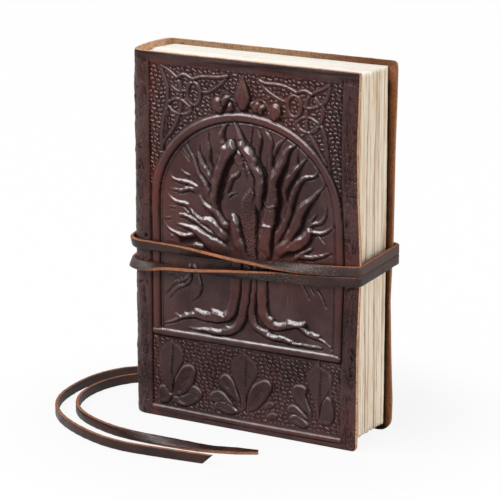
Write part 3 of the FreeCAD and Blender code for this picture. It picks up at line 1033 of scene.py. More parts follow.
LEAVES = leaves("""
0.6: -37.2,11.6 -41.5,16 -44.6,15.2 -45.4,12.3 -45.2,8.8 -43.8,6.9 -41.6,6.9 -38.7,8.6
0.6: -30.1,17.8 -25.1,18.3 -22,17.1 -20.5,14.8 -21.3,12.2 -24,9.7 -27.4,7.9 -31.3,6.8 -34.7,7.4
    -36.9,9.7 -37.4,13.1
0.6: -36.9,11.2 -36.8,15.7 -36,19.9 -33.7,24.2 -31.2,27.1 -28.4,28.3 -25.6,27.9 -24.2,25.7 -24.6,22.2
    -25.5,19 -27.9,15.9 -31.9,12.5
0.2: -37.3,38.8 -41.3,36.1 -43.5,33 -44.2,29.6 -43.9,25.7 -43.3,21.7 -42.8,18.8 -41.5,16 -38.7,12.6
    -37,17.7 -36.5,20.3 -35.1,22.3 -32.9,25.9 -31.4,29.3 -31.4,33.1 -33.3,36.3 -36.5,37.9
0.6: -1.8,10.7 -11.3,12.1 -14.6,11.9 -16.7,12.9 -16.3,15.3 -14,17.3 -11.3,18.2 -8.9,17.5 -6.5,15.6
0.6: 0.3,8.9 -2.4,7.7 -5.9,6.9 -8.9,7.4 -11.9,8.3 -14,9.5 -13.1,11.8 -10.7,12.9 -7.7,13.1 -5,12.3
    -2.5,10.8
0.6: 0.7,13.3 -4.7,16.1 -8.3,18.8 -10.4,21.1 -11,23.7 -10,25.7 -7.6,26.9 -5.3,26.1 -3.4,24.4 -1.8,20.9
0.6: 4.8,9.7 3.9,12.7 4.5,17.1 6.2,21.4 9.5,25.1 12.4,26.8 15.6,27.1 17.7,25.3 17.6,22.4 15.9,19.5
    13,15.5 8.9,11.4
0.2: 3,39.3 -1.1,36.1 -3.8,32.8 -4.2,29.6 -3.2,26 -1.8,22.5 -0.2,19.5 1.1,17.1 1.7,10.2 3.1,10.5
    3.6,16.4 5.1,20.4 7.4,24.5 9.3,27.4 9.8,30.7 8.8,33.7 6.2,36.2 3.5,37.9
0.4: 13,12.6 14.4,15 16.8,16.9 19.4,15.8 18,14 15.6,13
0.4: 14,8.6 15.8,10.6 18.4,11.8 21.4,10.6 19.6,9 16.8,8.4
0.6: 38.4,8.7 35.2,6.9 31.4,7.5 28.2,8.9 27.1,10.7 29,12.6 31.4,13.1 34.1,12.3 36.8,10.3
0.6: 38.4,10.6 34.1,11.9 29.8,13.1 26.8,13.6 26,15.2 27.4,16.8 29.3,17.6 31.7,17 34.6,14.9
0.6: 39.4,12.7 33.5,16.2 31.1,19.2 29.5,21.9 28.9,24.7 30,26.9 32.4,27.9 35.1,27.5 36.6,26.2 36.2,23
    37.5,19 38.9,15.6
0.6: 43.4,15.4 43.9,18.9 45.2,21.8 46.9,24.1 49.2,23.6 50.3,20.9 51.1,16.6 50.6,12.7 48,10.3 44.3,11.6
0.2: 42.7,40 39.6,36.6 37.4,33.4 37.4,30 38.6,26.8 39.9,23.6 41,20.3 42.1,17.1 42.7,12.8 43.4,15.4
    43.9,19.4 45.8,22.6 47.8,26.3 49.4,30 49.9,32.9 48.6,35.4 46.2,37 43.5,38.2
""")
RIBS = strokes("""
0.9 1.2 0.9: -37.2,38.9 -37.8,31.6 -38.5,25 -38.3,20 -37.8,13.5
0.9 1.2 0.9: 3,40.2 2.7,30.6 2.3,23.7 2.5,17.3 2.4,10.9
0.9 1.2 0.9: 42.7,40.6 43,33.3 42.5,25.9 42.7,19.6 42.9,13.3
""")
VEINS = strokes("""
0.7: 12.7,21.6 10.1,19.1 7.7,15.5
0.7: -6.8,21.2 -4.7,20.7 -2.6,19.7
0.7: -33.3,14.3 -32.8,17.4 -30.4,20 -27.3,22
0.7: -31.3,12.6 -27.3,14.4 -24.5,13.9 -23.2,11.8
0.7: -34.7,12 -33,9.8 -29.6,8.8 -25.7,10
""")


class Relief:
    """Height of the tooling over a grid, in millimetres from the leather's plain face."""

    ground = -0.45
    slope = 0.66
    shoulder = 1.15
    away = (0.75, -0.66)
    notch_pitch = 1.75

    def __init__(self, x: Array, z: Array) -> None:
        """Start with a plain face.

        Args:
            x: Columns, rising.
            z: Rows, rising.
        """
        self.x, self.z = x, z
        self.xx, self.zz = np.meshgrid(x, z)
        self.sway_x, self.sway_z = (waves(self.xx, self.zz, seed, 11.0, 3) for seed in (71, 72))
        self.lumps = waves(self.xx, self.zz, 73, 8.0, 3)
        self.sway, self.lumpy, self.wide = 0.0, 0.0, 1.0
        blank = (np.zeros_like(self.xx) for _ in range(6))
        self.height, self.fields, self.crease, self.drawn, self.dots, self.pebbles = blank

    def window(self, low: Array, high: Array) -> tuple[slice, slice]:
        """Rows and columns that cover a box."""
        ends = (np.searchsorted(line, (low[k], high[k])) for line, k in ((self.z, 1), (self.x, 0)))
        return tuple(slice(*pair) for pair in ends)

    def swayed(self, window: tuple[slice, slice]) -> tuple[Array, Array]:
        """Coordinates in a window, moved a little by the hand's unevenness."""
        pairs = ((self.xx, self.sway_x), (self.zz, self.sway_z))
        return tuple(values[window] + self.sway * moved[window] for values, moved in pairs)

    def from_segment(self, window: tuple[slice, slice], a: Array, b: Array) -> tuple[Array, Array]:
        """Measure from every point of a window to a straight piece.

        Args:
            window: Rows and columns.
            a: Start of the piece.
            b: Its end.

        Returns:
            Place along the piece, from 0 to 1, and distance from it.
        """
        x, z = self.swayed(window)
        dx, dz = x - a[0], z - a[1]
        vx, vz = b - a
        t = np.clip((dx * vx + dz * vz) / max(vx * vx + vz * vz, 1e-9), 0, 1)
        return t, np.hypot(dx - t * vx, dz - t * vz)

    def measure(self, form: Stroke, reach: float = 2.5) -> tuple[Array, Array, Array]:
        """Distance from every point to a stroke.

        Args:
            form: The stroke.
            reach: How far outside it distances are needed.

        Returns:
            Distance to its edge, negative inside; its radius at the nearest place; and that place, 0 to 1.
        """
        gap, radius, share = (np.full_like(self.xx, value) for value in (FAR, 1.0, 0.0))
        line, radii = form.line()
        radii = radii * self.wide
        for k, (a, b, ra, rb) in enumerate(zip(line[:-1], line[1:], radii[:-1], radii[1:])):
            far = max(ra, rb) + reach
            window = self.window(np.minimum(a, b) - far, np.maximum(a, b) + far)
            t, d = self.from_segment(window, a, b)
            r = ra + (rb - ra) * t
            closer = d - r < gap[window]
            for values, new in ((gap, d - r), (radius, r), (share, (k + t) / (len(line) - 1))):
                values[window] = np.where(closer, new, values[window])
        return gap, radius, share

    def leaf_gap(self, form: Leaf) -> Array:
        """Measure from every point to a leaf's outline.

        Args:
            form: The leaf.

        Returns:
            The distance, negative inside it.
        """
        line, _ = through(form.points + form.points[:1], 0.8)
        gap, inside = np.full_like(self.xx, FAR), np.zeros(self.xx.shape, bool)
        window = self.window(line.min(axis=0) - 2.5, line.max(axis=0) + 2.5)
        x, z = self.swayed(window)
        for a, b in zip(line[:-1], line[1:]):
            gap[window] = np.minimum(gap[window], self.from_segment(window, a, b)[1])
            spans = (a[1] > z) != (b[1] > z)
            inside[window] ^= spans & (x < a[0] + (z - a[1]) * (b[0] - a[0]) / ((b[1] - a[1]) or 1e-9))
        return np.where(inside, -gap, gap)

    def groove(self, gap: Array, depth: float) -> tuple[Array, Array]:
        """How an edge faces, and the depth of the groove beside it.

        Args:
            gap: Distance outside the edge.
            depth: The groove's usual depth.

        Returns:
            1 where the edge faces down to the right and -1 where it faces up to the left; and the depth.
        """
        dz, dx = np.gradient(gap, self.z, self.x)
        turned = np.clip(self.away[0] * dx + self.away[1] * dz, -1, 1)
        return turned, depth * np.clip(0.5 + 0.8 * turned, 0.12, 1.25)

    def raise_forms(self, forms: Sequence[Stroke], rise: float, outline: float, keep: float = 0.35,
                    fade: float = 0.0) -> None:
        """Raise forms with sloping shoulders over what is there, with a groove round each.

        Args:
            forms: The strokes.
            rise: Greatest height above the ground.
            outline: Depth of the groove.
            keep: Share of the height underneath that shows through.
            fade: Share of a form's length over which its end sinks into what is there.
        """
        roll = rise / self.slope
        for form in forms:
            gap, radius, share = self.measure(form)
            turned, groove = self.groove(gap, outline)
            reach = np.minimum(radius, roll * (1 - 0.4 * ease(-0.2, 0.8, turned)))
            tall = rise * np.clip(radius / roll, 0.25, 1) * (1 + self.lumpy * self.lumps)
            tall = tall * (1 + 0.45 * ease(1.9, 0.7, radius))
            dome = (tall + groove) * (1 - (1 - np.clip(-gap / reach, 0, 1)) ** self.shoulder) - groove
            under = self.ground + keep * (self.height - self.ground)
            made = np.where(gap < 0, under + dome, self.beside(gap, groove, 0.55))
            sunk = ease(1 - fade, 1.0, share) if fade else 0.0
            self.height = made + sunk * (self.height - made)
            self.drawn = np.maximum(self.drawn, 1 - ease(0.1, 0.9, gap))

    def beside(self, gap: Array, groove: Array, width: float) -> Array:
        """Height next to a form, with its groove pressed in."""
        return self.height - groove * np.exp(-(np.maximum(gap, 0) / width) ** 2)

    def raise_leaf(self, form: Leaf) -> None:
        """Raise a leaf: a sloping rim, a face that sinks inside it, and a groove round it.

        Args:
            form: The leaf.
        """
        gap = self.leaf_gap(form)
        _, groove = self.groove(gap, 0.42)
        rim = np.clip(1 + gap * self.slope / form.rise, 0, 1) ** self.shoulder
        edge = (form.rise + groove) * (1 - rim) - groove
        sunk = 0.6 * form.rise * ease(-0.8, -2.6, gap)
        self.height = np.where(gap < 0, self.ground + edge - sunk, self.beside(gap, groove, 0.5))
        self.drawn = np.maximum(self.drawn, 1 - ease(0.1, 0.9, gap))
        self.fields = np.maximum(self.fields, ease(-0.5, -1.2, gap))

    def swell(self, form: Stroke) -> None:
        """Raise a facet that climbs from a stroke's upper left and falls off at its lower right.

        Args:
            form: The stroke.
        """
        gap, radius, _ = self.measure(form)
        turned, _ = self.groove(gap, 0.0)
        up = (gap + radius) * np.clip(-2 * turned, -1, 1)
        facet = self.slope * np.clip(radius - up, 0, 1.7 * radius) * ease(0.4, -0.7, gap)
        lift = np.maximum(self.ground + facet - self.height, 0)
        self.height += lift * ease(0.25, -0.15, gap)

    def notch(self, rib: Stroke) -> None:
        """Press short slanting notches to the right of a leaf's rib.

        Args:
            rib: The rib, from its top.
        """
        line = np.array(rib.points)[::-1]
        foot, top = line[0, 1], line[-1, 1]
        off = self.xx - np.interp(self.zz, line[:, 1], line[:, 0])
        ends = ease(foot + 1, foot + 5, self.zz) * ease(top - 1, top - 4, self.zz)
        comb = 0.5 + 0.5 * np.sin((self.zz - 0.8 * off) * 2 * math.pi / self.notch_pitch)
        deep = ease(0.3, 0.7, off) * ease(3.2, 0.9, off)
        self.height -= 0.4 * ends * deep * comb

    def cut(self, forms: Sequence[Stroke], depth: float) -> None:
        """Press a groove along each stroke.

        Args:
            forms: The strokes.
            depth: How deep.
        """
        for form in forms:
            gap, radius, _ = self.measure(form)
            self.height -= depth * np.exp(-(np.maximum(gap + radius, 0) / np.maximum(radius, 0.3)) ** 2)


@dataclass
class Tooling:
    """The pressed picture: an arch with a tree, knots above it and leaves below."""

    relief: Relief
    panel_x: Pair = (-49.0, 54.5)
    panel_z: Pair = (4.4, 173.6)
    arch_centre: Pair = (3.4, 108.0)
    arch_size: Pair = (49.2, 43.5)
    arch_width: float = 4.2
    arch_legs: Pair = (-45.8, 52.7)
    leg_z: Triple = (43.0, 65.0, 88.0)
    bar_z: Pair = (41.2, 44.9)
    thong_z: Pair = (73.0, 88.0)

    def arch(self, inset: float, width: float) -> Stroke:
        """Outline of the arch.

        Args:
            inset: How far inside the moulding's middle it runs.
            width: Its width.

        Returns:
            The stroke, from the left leg's foot over the top to the right leg's foot.
        """
        (cx, cz), (wide, high) = self.arch_centre, self.arch_size
        turn = np.radians(np.linspace(180, 0, 17))
        top = [(cx + (wide - inset) * math.cos(a), cz + (high - inset) * math.sin(a)) for a in turn]
        left, right = self.arch_legs
        spread = (left + wide - cx) / 3
        legs = [(left + inset + k * spread, z) for k, z in enumerate(self.leg_z)]
        feet = [(right - inset, z) for z in reversed(self.leg_z)]
        return Stroke((width,), tuple(legs + top + feet))

    def panel(self) -> Array:
        """The sunk panel.

        Returns:
            1 inside it and 0 outside.
        """
        x, z = self.relief.xx, self.relief.zz
        (x0, x1), (z0, z1) = self.panel_x, self.panel_z
        across = ease(x0 - 0.5, x0 + 0.5, x) * ease(x1 + 0.5, x1 - 0.5, x)
        return across * ease(z0 - 0.5, z0 + 0.5, z) * ease(z1 + 0.9, z1 - 0.9, z)

    def draw(self) -> None:
        """Draw everything on the plain face."""
        relief, inside = self.relief, self.panel()
        relief.height += relief.ground * inside
        self.draw_frame()
        relief.raise_forms(LEFT_KNOT + RIGHT_KNOT, 0.75, 0.42, keep=0.12)
        relief.raise_forms(BUDS, 1.25, 0.4, keep=0.1)
        relief.raise_forms(TWIGS, 0.6, 0.4)
        relief.cut(TENDRILS, 0.75)
        relief.cut(HOLLOWS, 0.5)
        self.draw_tree()
        relief.sway, relief.lumpy = 0.15, 0.0
        for form in LEAVES:
            relief.raise_leaf(form)
        for form in RIBS:
            relief.notch(form)
            relief.raise_forms([form], 0.6, 0.14, keep=1.0)
        relief.cut(VEINS, 0.32)
        self.bark()
        self.spread_beads(inside)
        self.borders()
        self.under_thong()

    def draw_tree(self) -> None:
        """Branches, roots, trunk and limbs, a little uneven as if carved by hand."""
        relief = self.relief
        relief.sway, relief.lumpy, relief.wide = 0.3, 0.22, 1.15
        relief.raise_forms(BRANCHES, 1.3, 0.45, keep=0.3, fade=0.2)
        relief.wide = 1.0
        relief.raise_forms(ROOTS, 1.0, 0.4, keep=0.1)
        relief.raise_forms(CORE, 0.9, 0.3, keep=0.2)
        relief.raise_forms(WEB, 1.2, 0.0, keep=0.5, fade=0.4)
        core = relief.height.copy()
        relief.raise_forms(LIMBS, 1.9, 0.6, keep=0.3, fade=0.22)
        relief.pebbles = self.pebble_region() * (np.abs(relief.height - core) < 0.05)
        relief.wide = 1.3
        for form in KNUCKLES:
            relief.swell(form)
        relief.wide = 1.0
        relief.raise_forms(FOLDS, 0.45, 0.14, keep=1.0)

    def draw_frame(self) -> None:
        """The panel's grooves, the arch's moulding and the ground bar."""
        relief = self.relief
        (x0, x1), (z0, z1) = self.panel_x, self.panel_z
        relief.cut([Stroke((0.9, 1.3, 0.9), ((x0, z1), (x0 + 0.2, 90), (x0 + 0.9, z0)))], 0.42)
        relief.cut([Stroke((0.9, 1.5, 1.2), ((x1, z1), (x1 - 0.2, 100), (x1 + 0.3, z0)))], 0.5)
        middle, width = sum(self.bar_z) / 2, self.bar_z[1] - self.bar_z[0]
        bar = Stroke((width,), ((x0 + 2.2, middle - 0.4), (3, middle), (x1 - 1.8, middle + 0.3)))
        bottom = Stroke((2.8,), ((x0 + 1, z0), (3, z0 - 0.6), (x1 - 0.5, z0 - 0.4)))
        relief.raise_forms([self.arch(0.0, self.arch_width)], 0.85, 0.4)
        relief.raise_forms([bar], 0.75, 0.4)
        relief.raise_forms([bottom], 0.75, 0.1, keep=0.0)
        relief.raise_forms([self.arch(3.1, 0.9)], 0.3, 0.1, keep=0.9)

    def bark(self) -> None:
        """Uneven lines along the tree's limbs, and a slight unevenness everywhere."""
        relief, x, z = self.relief, self.relief.xx, self.relief.zz
        tree = ease(0.0, 0.5, relief.height - relief.ground)
        tree = tree * ease(45.5, 47.5, z) * (self.oval(x, z) < 0.93)
        relief.height += 0.15 * tree * waves(x * 2.2, z * 0.6, 5, 9.0, 3)
        relief.height += 0.09 * tree * waves(x * 2.6 + 0.3 * z, z * 0.5, 6, 4.5, 2)
        relief.height += 0.07 * waves(x, z, 25, 6.5, 3)

    def oval(self, x: Array, z: Array) -> Array:
        """1 on the arch's middle line, less inside it."""
        up = np.maximum(z - self.arch_centre[1], 0)
        return np.hypot((x - self.arch_centre[0]) / self.arch_size[0], up / self.arch_size[1])

    def spread_beads(self, inside: Array) -> None:
        """Fill the grounds outside the arch and round the leaves with beads, and the trunk's fork with dots.

        Args:
            inside: 1 in the sunk panel.
        """
        relief, x, z = self.relief, self.relief.xx, self.relief.zz
        bar, top = self.bar_z[0], self.panel_z[1]
        outside = ease(1.045, 1.07, self.oval(x, z)) * ease(109.0, 112.0, z)
        below = ease(bar - 0.6, bar - 1.8, z) * ease(5.6, 7.0, z)
        left = ease(-46.0, -47.0, x) * ease(95.0, 104.0, z)
        free = inside * np.clip(outside + below + left, 0, 1) * (1 - relief.drawn)
        patchy = np.clip(0.85 + 0.5 * waves(x, z, 22, 5.0, 2), 0.3, 1)
        relief.dots = free * ease(top - 0.2, top - 1.6, z) * (1 - 0.2 * ease(46.0, 44.0, z)) * patchy
        uneven = 0.8 + 0.4 * waves(x, z, 21, 14.0, 2)
        relief.height += relief.dots * uneven * (0.16 * self.bead(x, z) - 0.1)
        row = z / 1.25
        side = (x / 1.35 + 0.5 * np.floor(row)) % 1.0 - 0.5
        round_dot = np.exp(-((side * 1.35) ** 2 + ((row % 1.0 - 0.5) * 1.25) ** 2) / 0.2)
        relief.height += relief.pebbles * 0.2 * round_dot

    @staticmethod
    def bead(x: Array, z: Array) -> Array:
        """Shape of the slanted beads.

        Args:
            x: Places across the front.
            z: Heights.

        Returns:
            0 between the beads to 1 on them.
        """
        (swing, rate), (ripple, rate_x, rate_z), (sway, by_row, by_x) = BEADS.swing, BEADS.ripple, BEADS.sway
        rows = z / BEADS.pitch_z + swing * np.sin(rate * x) + ripple * np.sin(rate_x * x + rate_z * z)
        row = np.floor(rows)
        across = x / BEADS.pitch_x + BEADS.stagger * row + sway * np.sin(by_row * row + by_x * x)
        across = across % 1.0 - 0.5
        slant = (rows % 1.0 - 0.5) + BEADS.lean * across
        climb = np.clip((BEADS.crest - slant) * BEADS.steep, 0, 1)
        return climb * np.clip(slant / BEADS.slope + 1, 0, 1) * ease(*BEADS.ends, np.abs(across))

    def pebble_region(self) -> Array:
        """The trunk's fork, which is filled with round dots.

        Returns:
            1 inside it and 0 outside.
        """
        x, z = self.relief.xx, self.relief.zz
        middle = np.interp(z, (84, 92, 100, 110, 118), (6.5, 6.0, 5.0, 5.0, 6.5))
        half = np.interp(z, (84, 92, 100, 110, 116, 119), (2.0, 3.6, 4.8, 4.4, 2.4, 0.5))
        return ease(0.4, -0.4, np.abs(x - middle) - half) * ease(82, 84, z)

    def borders(self) -> None:
        """Creases in the plain strips at both sides and a little along the head."""
        relief, x, z = self.relief, self.relief.xx, self.relief.zz
        left = ease(self.panel_x[0] - 0.6, self.panel_x[0] - 1.8, x)
        right = ease(self.panel_x[1] + 0.6, self.panel_x[1] + 1.8, x)
        folds = waves(x * 1.6 + 0.25 * z, z * 0.42, 8, 13.0, 4)
        lines = np.exp(-(folds / 0.11) ** 2)
        cross = waves(x * 0.5, z * 1.4, 9, 9.0, 3)
        relief.height += left * (0.34 * folds - 0.6 * lines * ease(0.0, 0.5, cross) + 0.16 * cross)
        relief.height += right * (0.32 * folds - 0.45 * lines + 0.14 * cross)
        relief.crease = np.clip(left * 0.8 + right, 0, 1) * ease(176.5, 172, z)

    def under_thong(self) -> None:
        """Press the relief flatter where the thong is drawn over it."""
        relief, (z0, z1) = self.relief, self.thong_z
        pressed = ease(z0 - 4, z0 + 1, relief.zz) * ease(z1 + 4, z1 - 1, relief.zz)
        relief.height -= 0.85 * pressed * np.maximum(relief.height - 0.1, 0)


@dataclass
class Cover:
    """The one sheet of leather: front, spine and back, with its tooled front."""

    book: Book
    name: str = "cover"
    fine_end: float = 126.0
    coarse: float = 2.0
    front_corners: Pair = (2.0, 0.8)
    back_corners: Pair = (5.0, 1.7)
    edge_zone: Pair = (38.0, 62.7)
    panel_reach: Pair = (-55.6, 49.6)
    panel_columns: int = 216
    edge_steps: tuple[float, ...] = (0.0, 0.35, 0.8, 1.4, 2.0)
    coarse_steps: tuple[float, ...] = (0.0, 0.25, 0.6, 1.2, 2.0)
    row_steps: tuple[Triple, ...] = (
        (3.7, 6.2, 0.41), (6.2, 43.8, 0.57), (43.8, 58.4, 0.42), (58.4, 92.0, 0.68), (92.0, 174.0, 0.51))
    thread_y: tuple[float, ...] = (-12.25, -4.35, 3.55, 11.45)
    stitch_z: tuple[Pair, ...] = ((24.0, 70.0), (108.0, 154.0))
    front_edge: tuple[Pair, ...] = (
        (0, 62.5), (49, 62.5), (73, 63.4), (87, 63.9), (97, 63.5), (120, 62.3), (143, 61.7), (161, 62.3),
        (178, 62.8))
    back_edge: tuple[Pair, ...] = (
        (0, 61.6), (6, 62.4), (15, 62.6), (35, 61.7), (64, 60.8), (82, 61.5), (91, 61.9), (112, 62.1),
        (136, 62.3), (160, 62.9), (175, 63.2), (178, 62.6))

    def columns(self) -> Array:
        """Columns of the front's fine grid.

        Returns:
            Distances along the outer line.
        """
        panel = self.book.x_fore + np.linspace(*self.panel_reach, self.panel_columns)
        middle = np.linspace(2.7, panel[0] - 0.6, 7)
        left = np.arange(panel[-1] + 0.7, self.fine_end + 0.1, 0.75)
        return np.concatenate([self.edge_steps, middle, panel, left])

    def rows(self) -> Array:
        """Rows of the front's fine grid.

        Returns:
            Heights.
        """
        foot = np.array(self.edge_steps + (2.6, 3.2))
        body = [np.arange(low, high - 0.1, step) for low, high, step in self.row_steps]
        return np.concatenate([foot, *body, self.book.height - foot[::-1]])

    def coarse_columns(self) -> Array:
        """Columns of the spine and the back, close together at the stitches.

        Returns:
            Distances along the outer line.
        """
        total = self.book.total()
        base = list(np.arange(self.fine_end + 0.8, total - 3.0, self.coarse))
        base += [total - 3.0] + [total - d for d in self.coarse_steps]
        s = np.linspace(self.fine_end, self.fine_end + 40, 4001)
        x, y, _, _ = self.book.outline(s)
        for stitch in self.thread_y:
            at = s[np.argmin(np.abs(y - stitch) + 100 * (x > 0))]
            base = [b for b in base if abs(b - at) > 1.1]
            base += [at + 0.3 * k for k in range(-3, 4)]
        return np.array(sorted(base))

    def place(self, s: Array, z: Array, depth: Array | float) -> Array:
        """Points in the sheet.

        Args:
            s: Distance along the outer line from the front fore-edge.
            z: Height.
            depth: Distance in from the plain outer face; negative stands out.

        Returns:
            Points in millimetres.
        """
        book = self.book
        s, z = np.broadcast_arrays(np.asarray(s, float), np.asarray(z, float))
        x, y, nx, ny = (v.reshape(s.shape) for v in book.outline(s.ravel()))
        x, y = x - nx * depth, y - ny * depth
        front, foot = s < book.total() / 2, z < book.height / 2
        edge_x = np.where(front, np.interp(z, *zip(*self.front_edge)), np.interp(z, *zip(*self.back_edge)))
        x = x + (edge_x - book.x_fore) * ease(*self.edge_zone, x)
        corner = np.where(front, np.where(foot, *self.front_corners), np.where(foot, *self.back_corners))
        px = np.clip(corner - edge_x + x, 0, None)
        pz = np.clip(corner - np.minimum(z, book.height - z), 0, None)
        round_off = 1 - np.maximum(px, pz) / np.maximum(np.hypot(px, pz), 1e-9)
        pull = np.where((px > 0) & (pz > 0), round_off, 0.0)
        return np.stack([x - px * pull, y, z + np.where(foot, pz, -pz) * pull], axis=-1)

    def edge_roll(self, s: Array, z: Array) -> Array:
        """Find how far the face rolls down towards the sheet's edges.

        Args:
            s: Distances along the outer line.
            z: Heights.

        Returns:
            The depth.
        """
        total, top = self.book.total(), self.book.height
        near = np.minimum(np.minimum(s, total - s), np.minimum(z, top - z))
        return 0.34 * (1 - ease(0.0, 1.3, near)) ** 1.5

    def groove(self, s: Array, z: Array) -> Array:
        """Find how far the stitches have pulled the spine's leather in.

        Args:
            s: Distances along the outer line.
            z: Heights.

        Returns:
            The depth.
        """
        x, y, _, _ = (v.reshape(s.shape) for v in self.book.outline(s.ravel()))
        depth = np.zeros_like(s)
        for stitch in self.thread_y:
            across = 1 - ease(0.25, 1.0, np.abs(y - stitch) + 100 * (x > 0))
            for low, high in self.stitch_z:
                inside = ease(low - 1.4, low - 0.2, z) * ease(high + 1.4, high + 0.2, z)
                ends = np.exp(-((z - low) / 1.2) ** 2) + np.exp(-((z - high) / 1.2) ** 2)
                depth = np.maximum(depth, across * (0.62 * inside + 0.35 * ends))
        return depth

    def build(self, materials: Sequence[Material]) -> Piece:
        """Build the sheet.

        Args:
            materials: Grain, flesh and cut edge.

        Returns:
            The piece.
        """
        book, maker = self.book, MeshMaker()
        total, top = book.total(), book.height
        s_fine, z_fine = self.columns(), self.rows()
        relief = Relief(book.x_fore - s_fine[::-1], z_fine)
        Tooling(relief).draw()
        height = blurred(relief.height, 0.38)[:, ::-1]
        near_end = np.minimum(s_fine[None, :], np.minimum(z_fine, top - z_fine)[:, None])
        height *= ease(0.0, 2.0, near_end) * ease(self.fine_end, self.fine_end - 3.0, s_fine)[None, :]
        s, z = np.meshgrid(s_fine, z_fine)
        fine = maker.add(self.place(s, z, self.edge_roll(s, z) - height))
        maker.quads(fine, flip=True)

        s_coarse, ends = self.coarse_columns(), np.array(self.coarse_steps)
        z_coarse = np.concatenate([ends, np.arange(4.0, top - 3.9, 2.0), top - ends[::-1]])
        s, z = np.meshgrid(s_coarse, z_coarse)
        wear = 0.10 * waves(s * 0.8, z * 0.5, 31, 60.0, 4)
        coarse = maker.add(self.place(s, z, self.edge_roll(s, z) + self.groove(s, z) - wear))
        maker.quads(coarse, flip=True)
        maker.bridge(fine[:, -1], coarse[:, 0], Side.GRAIN)

        s = np.concatenate([[0.0], np.arange(2.5, total - 2.4, 4.0), [total]])
        z = np.concatenate([[0.0], np.arange(3.0, top - 2.9, 5.0), [top]])
        inner = maker.add(self.place(*np.meshgrid(s, z), book.leather))
        maker.quads(inner, Side.FLESH)

        s_all = np.concatenate([s_fine, s_coarse])
        for outer, s, z, far, flip in (
            (np.concatenate([fine[0], coarse[0]]), s_all, 0.0, inner[0], False),
            (np.concatenate([fine[-1], coarse[-1]]), s_all, top, inner[-1], True),
            (fine[:, 0], 0.0, z_fine, inner[:, 0], True),
            (coarse[:, -1], total, z_coarse, inner[:, -1], False),
        ):
            s, z = (np.broadcast_to(values, outer.shape) for values in (s, z))
            self.rim(maker, outer, s, z, far, flip)
        piece = maker.build(self.name, materials)
        self.marks(piece, relief, fine, coarse, height)
        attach(piece, BODY)
        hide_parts("leather_cover")
        return piece

    def rim(self, maker: MeshMaker, outer: Array, s: Array, z: Array, inner: Array, flip: bool) -> None:
        """Close the sheet's cut edge along one side.

        Args:
            maker: The mesh.
            outer: Vertices along the outer face's edge.
            s: Their distances along the outer line.
            z: Their heights.
            inner: Vertices along the inner face's edge.
            flip: Which way the faces turn.
        """
        total, top = self.book.total(), self.book.height
        step_s, step_z = np.clip(s, 1.0, total - 1.0), np.clip(z, 1.0, top - 1.0)
        rings = [outer]
        for depth, bulge in ((0.8, 0.10), (1.5, 0.12), (2.15, 0.04)):
            here = self.place(s, z, depth)
            inwards = self.place(step_s, step_z, depth) - here
            size = np.linalg.norm(inwards, axis=1)[:, None]
            rough = waves(s, z, 40 + int(depth * 10), 5.0, 3)[:, None]
            out = -inwards / np.maximum(size, 1e-9) * (bulge + 0.07 * rough)
            out[:, 2] = np.maximum(out[:, 2], -here[:, 2])
            rings.append(maker.add(here + out))
        for a, b in zip(rings[:-1], rings[1:]):
            maker.quads(np.stack([a, b]), Side.CUT, flip=flip)
        maker.bridge(rings[-1], inner, Side.CUT, flip=not flip)

    def marks(self, piece: Piece, relief: Relief, fine: Array, coarse: Array, height: Array) -> None:
        """Store painted shade in the low places, painted highlight as gloss on upward slopes, and where the
        leather is rubbed, beaded or creased.

        Args:
            piece: The cover.
            relief: What is drawn on its front.
            fine: Vertices of the front.
            coarse: Vertices of the spine and the back.
            height: Height of the front's relief, as made.
        """
        x, z, fields, crease = (v[:, ::-1] for v in (relief.xx, relief.zz, relief.fields, relief.crease))
        steep = ease(0.8, 1.5, blurred(np.hypot(*np.gradient(height, relief.z, relief.x)), 0.5))
        # Painted shade: low is dark where the blurred height up and to the left stands above a point, as if
        # lit from the upper left, and on steep sides; the head band's dark streaks added to it are the
        # leather's own.
        painted_shade_source = np.roll(blurred(height, 3.0), (-1, -2), (0, 1))
        streaks = ease(-0.5, 0.6, waves(x * 0.22, z * 2.2, 63, 12.0, 3)) * ease(172.6, 174.4, z)
        low = np.maximum(np.maximum(ease(0.06, 0.45, painted_shade_source - height), 0.45 * steep), 0.75 * streaks)
        broad = 0.14 + 0.5 * ease(-0.2, 0.7, waves(x, z, 61, 60.0, 4))
        strip = 0.7 * ease(-50, -48.6, x) * ease(-43, -46, x)
        root = 0.35 * ease(48, 56, z) * ease(110, 80, z) * ease(30, 12, np.abs(x - 6))
        face = ease(-0.1, 0.5, height) * (1 - steep) * (1 - fields)
        rub = face * (0.3 + root) + broad * (0.5 + 0.5 * ease(50, 110, z)) + strip
        # Painted highlight: gloss raised where the face slopes upward towards the lamp above, less on the
        # arch and along the foot.
        painted_highlight_gloss = ease(0.1, 0.5, -np.gradient(height, relief.z, axis=0)) * (1 - 0.8 * crease)
        painted_highlight_gloss *= 1 - 0.45 * ease(0.93, 0.96, Tooling(relief).oval(x, z)) * ease(85.0, 95.0, z)
        painted_highlight_gloss *= 1 - 0.7 * ease(8.0, 6.0, z)
        for name, front, behind in (
            ("painted_highlight_gloss", painted_highlight_gloss, 0.2),
            ("beads", relief.dots[:, ::-1], 0.0),
            ("pebbles", relief.pebbles[:, ::-1], 0.0),
            ("crease", crease, 0.16),
            ("plain", fields, 0.0),
            ("low", low, 0.0),
            ("rub", np.clip(rub, 0, 1) * ease(176, 173, z) * (1 - fields), 0.35),
        ):
            whole = np.full(len(piece.data.vertices), behind if name == "painted_highlight_gloss" else 0.0)
            whole[fine], whole[coarse] = front, behind
            set_attribute(piece, name, whole)


# ---- pages


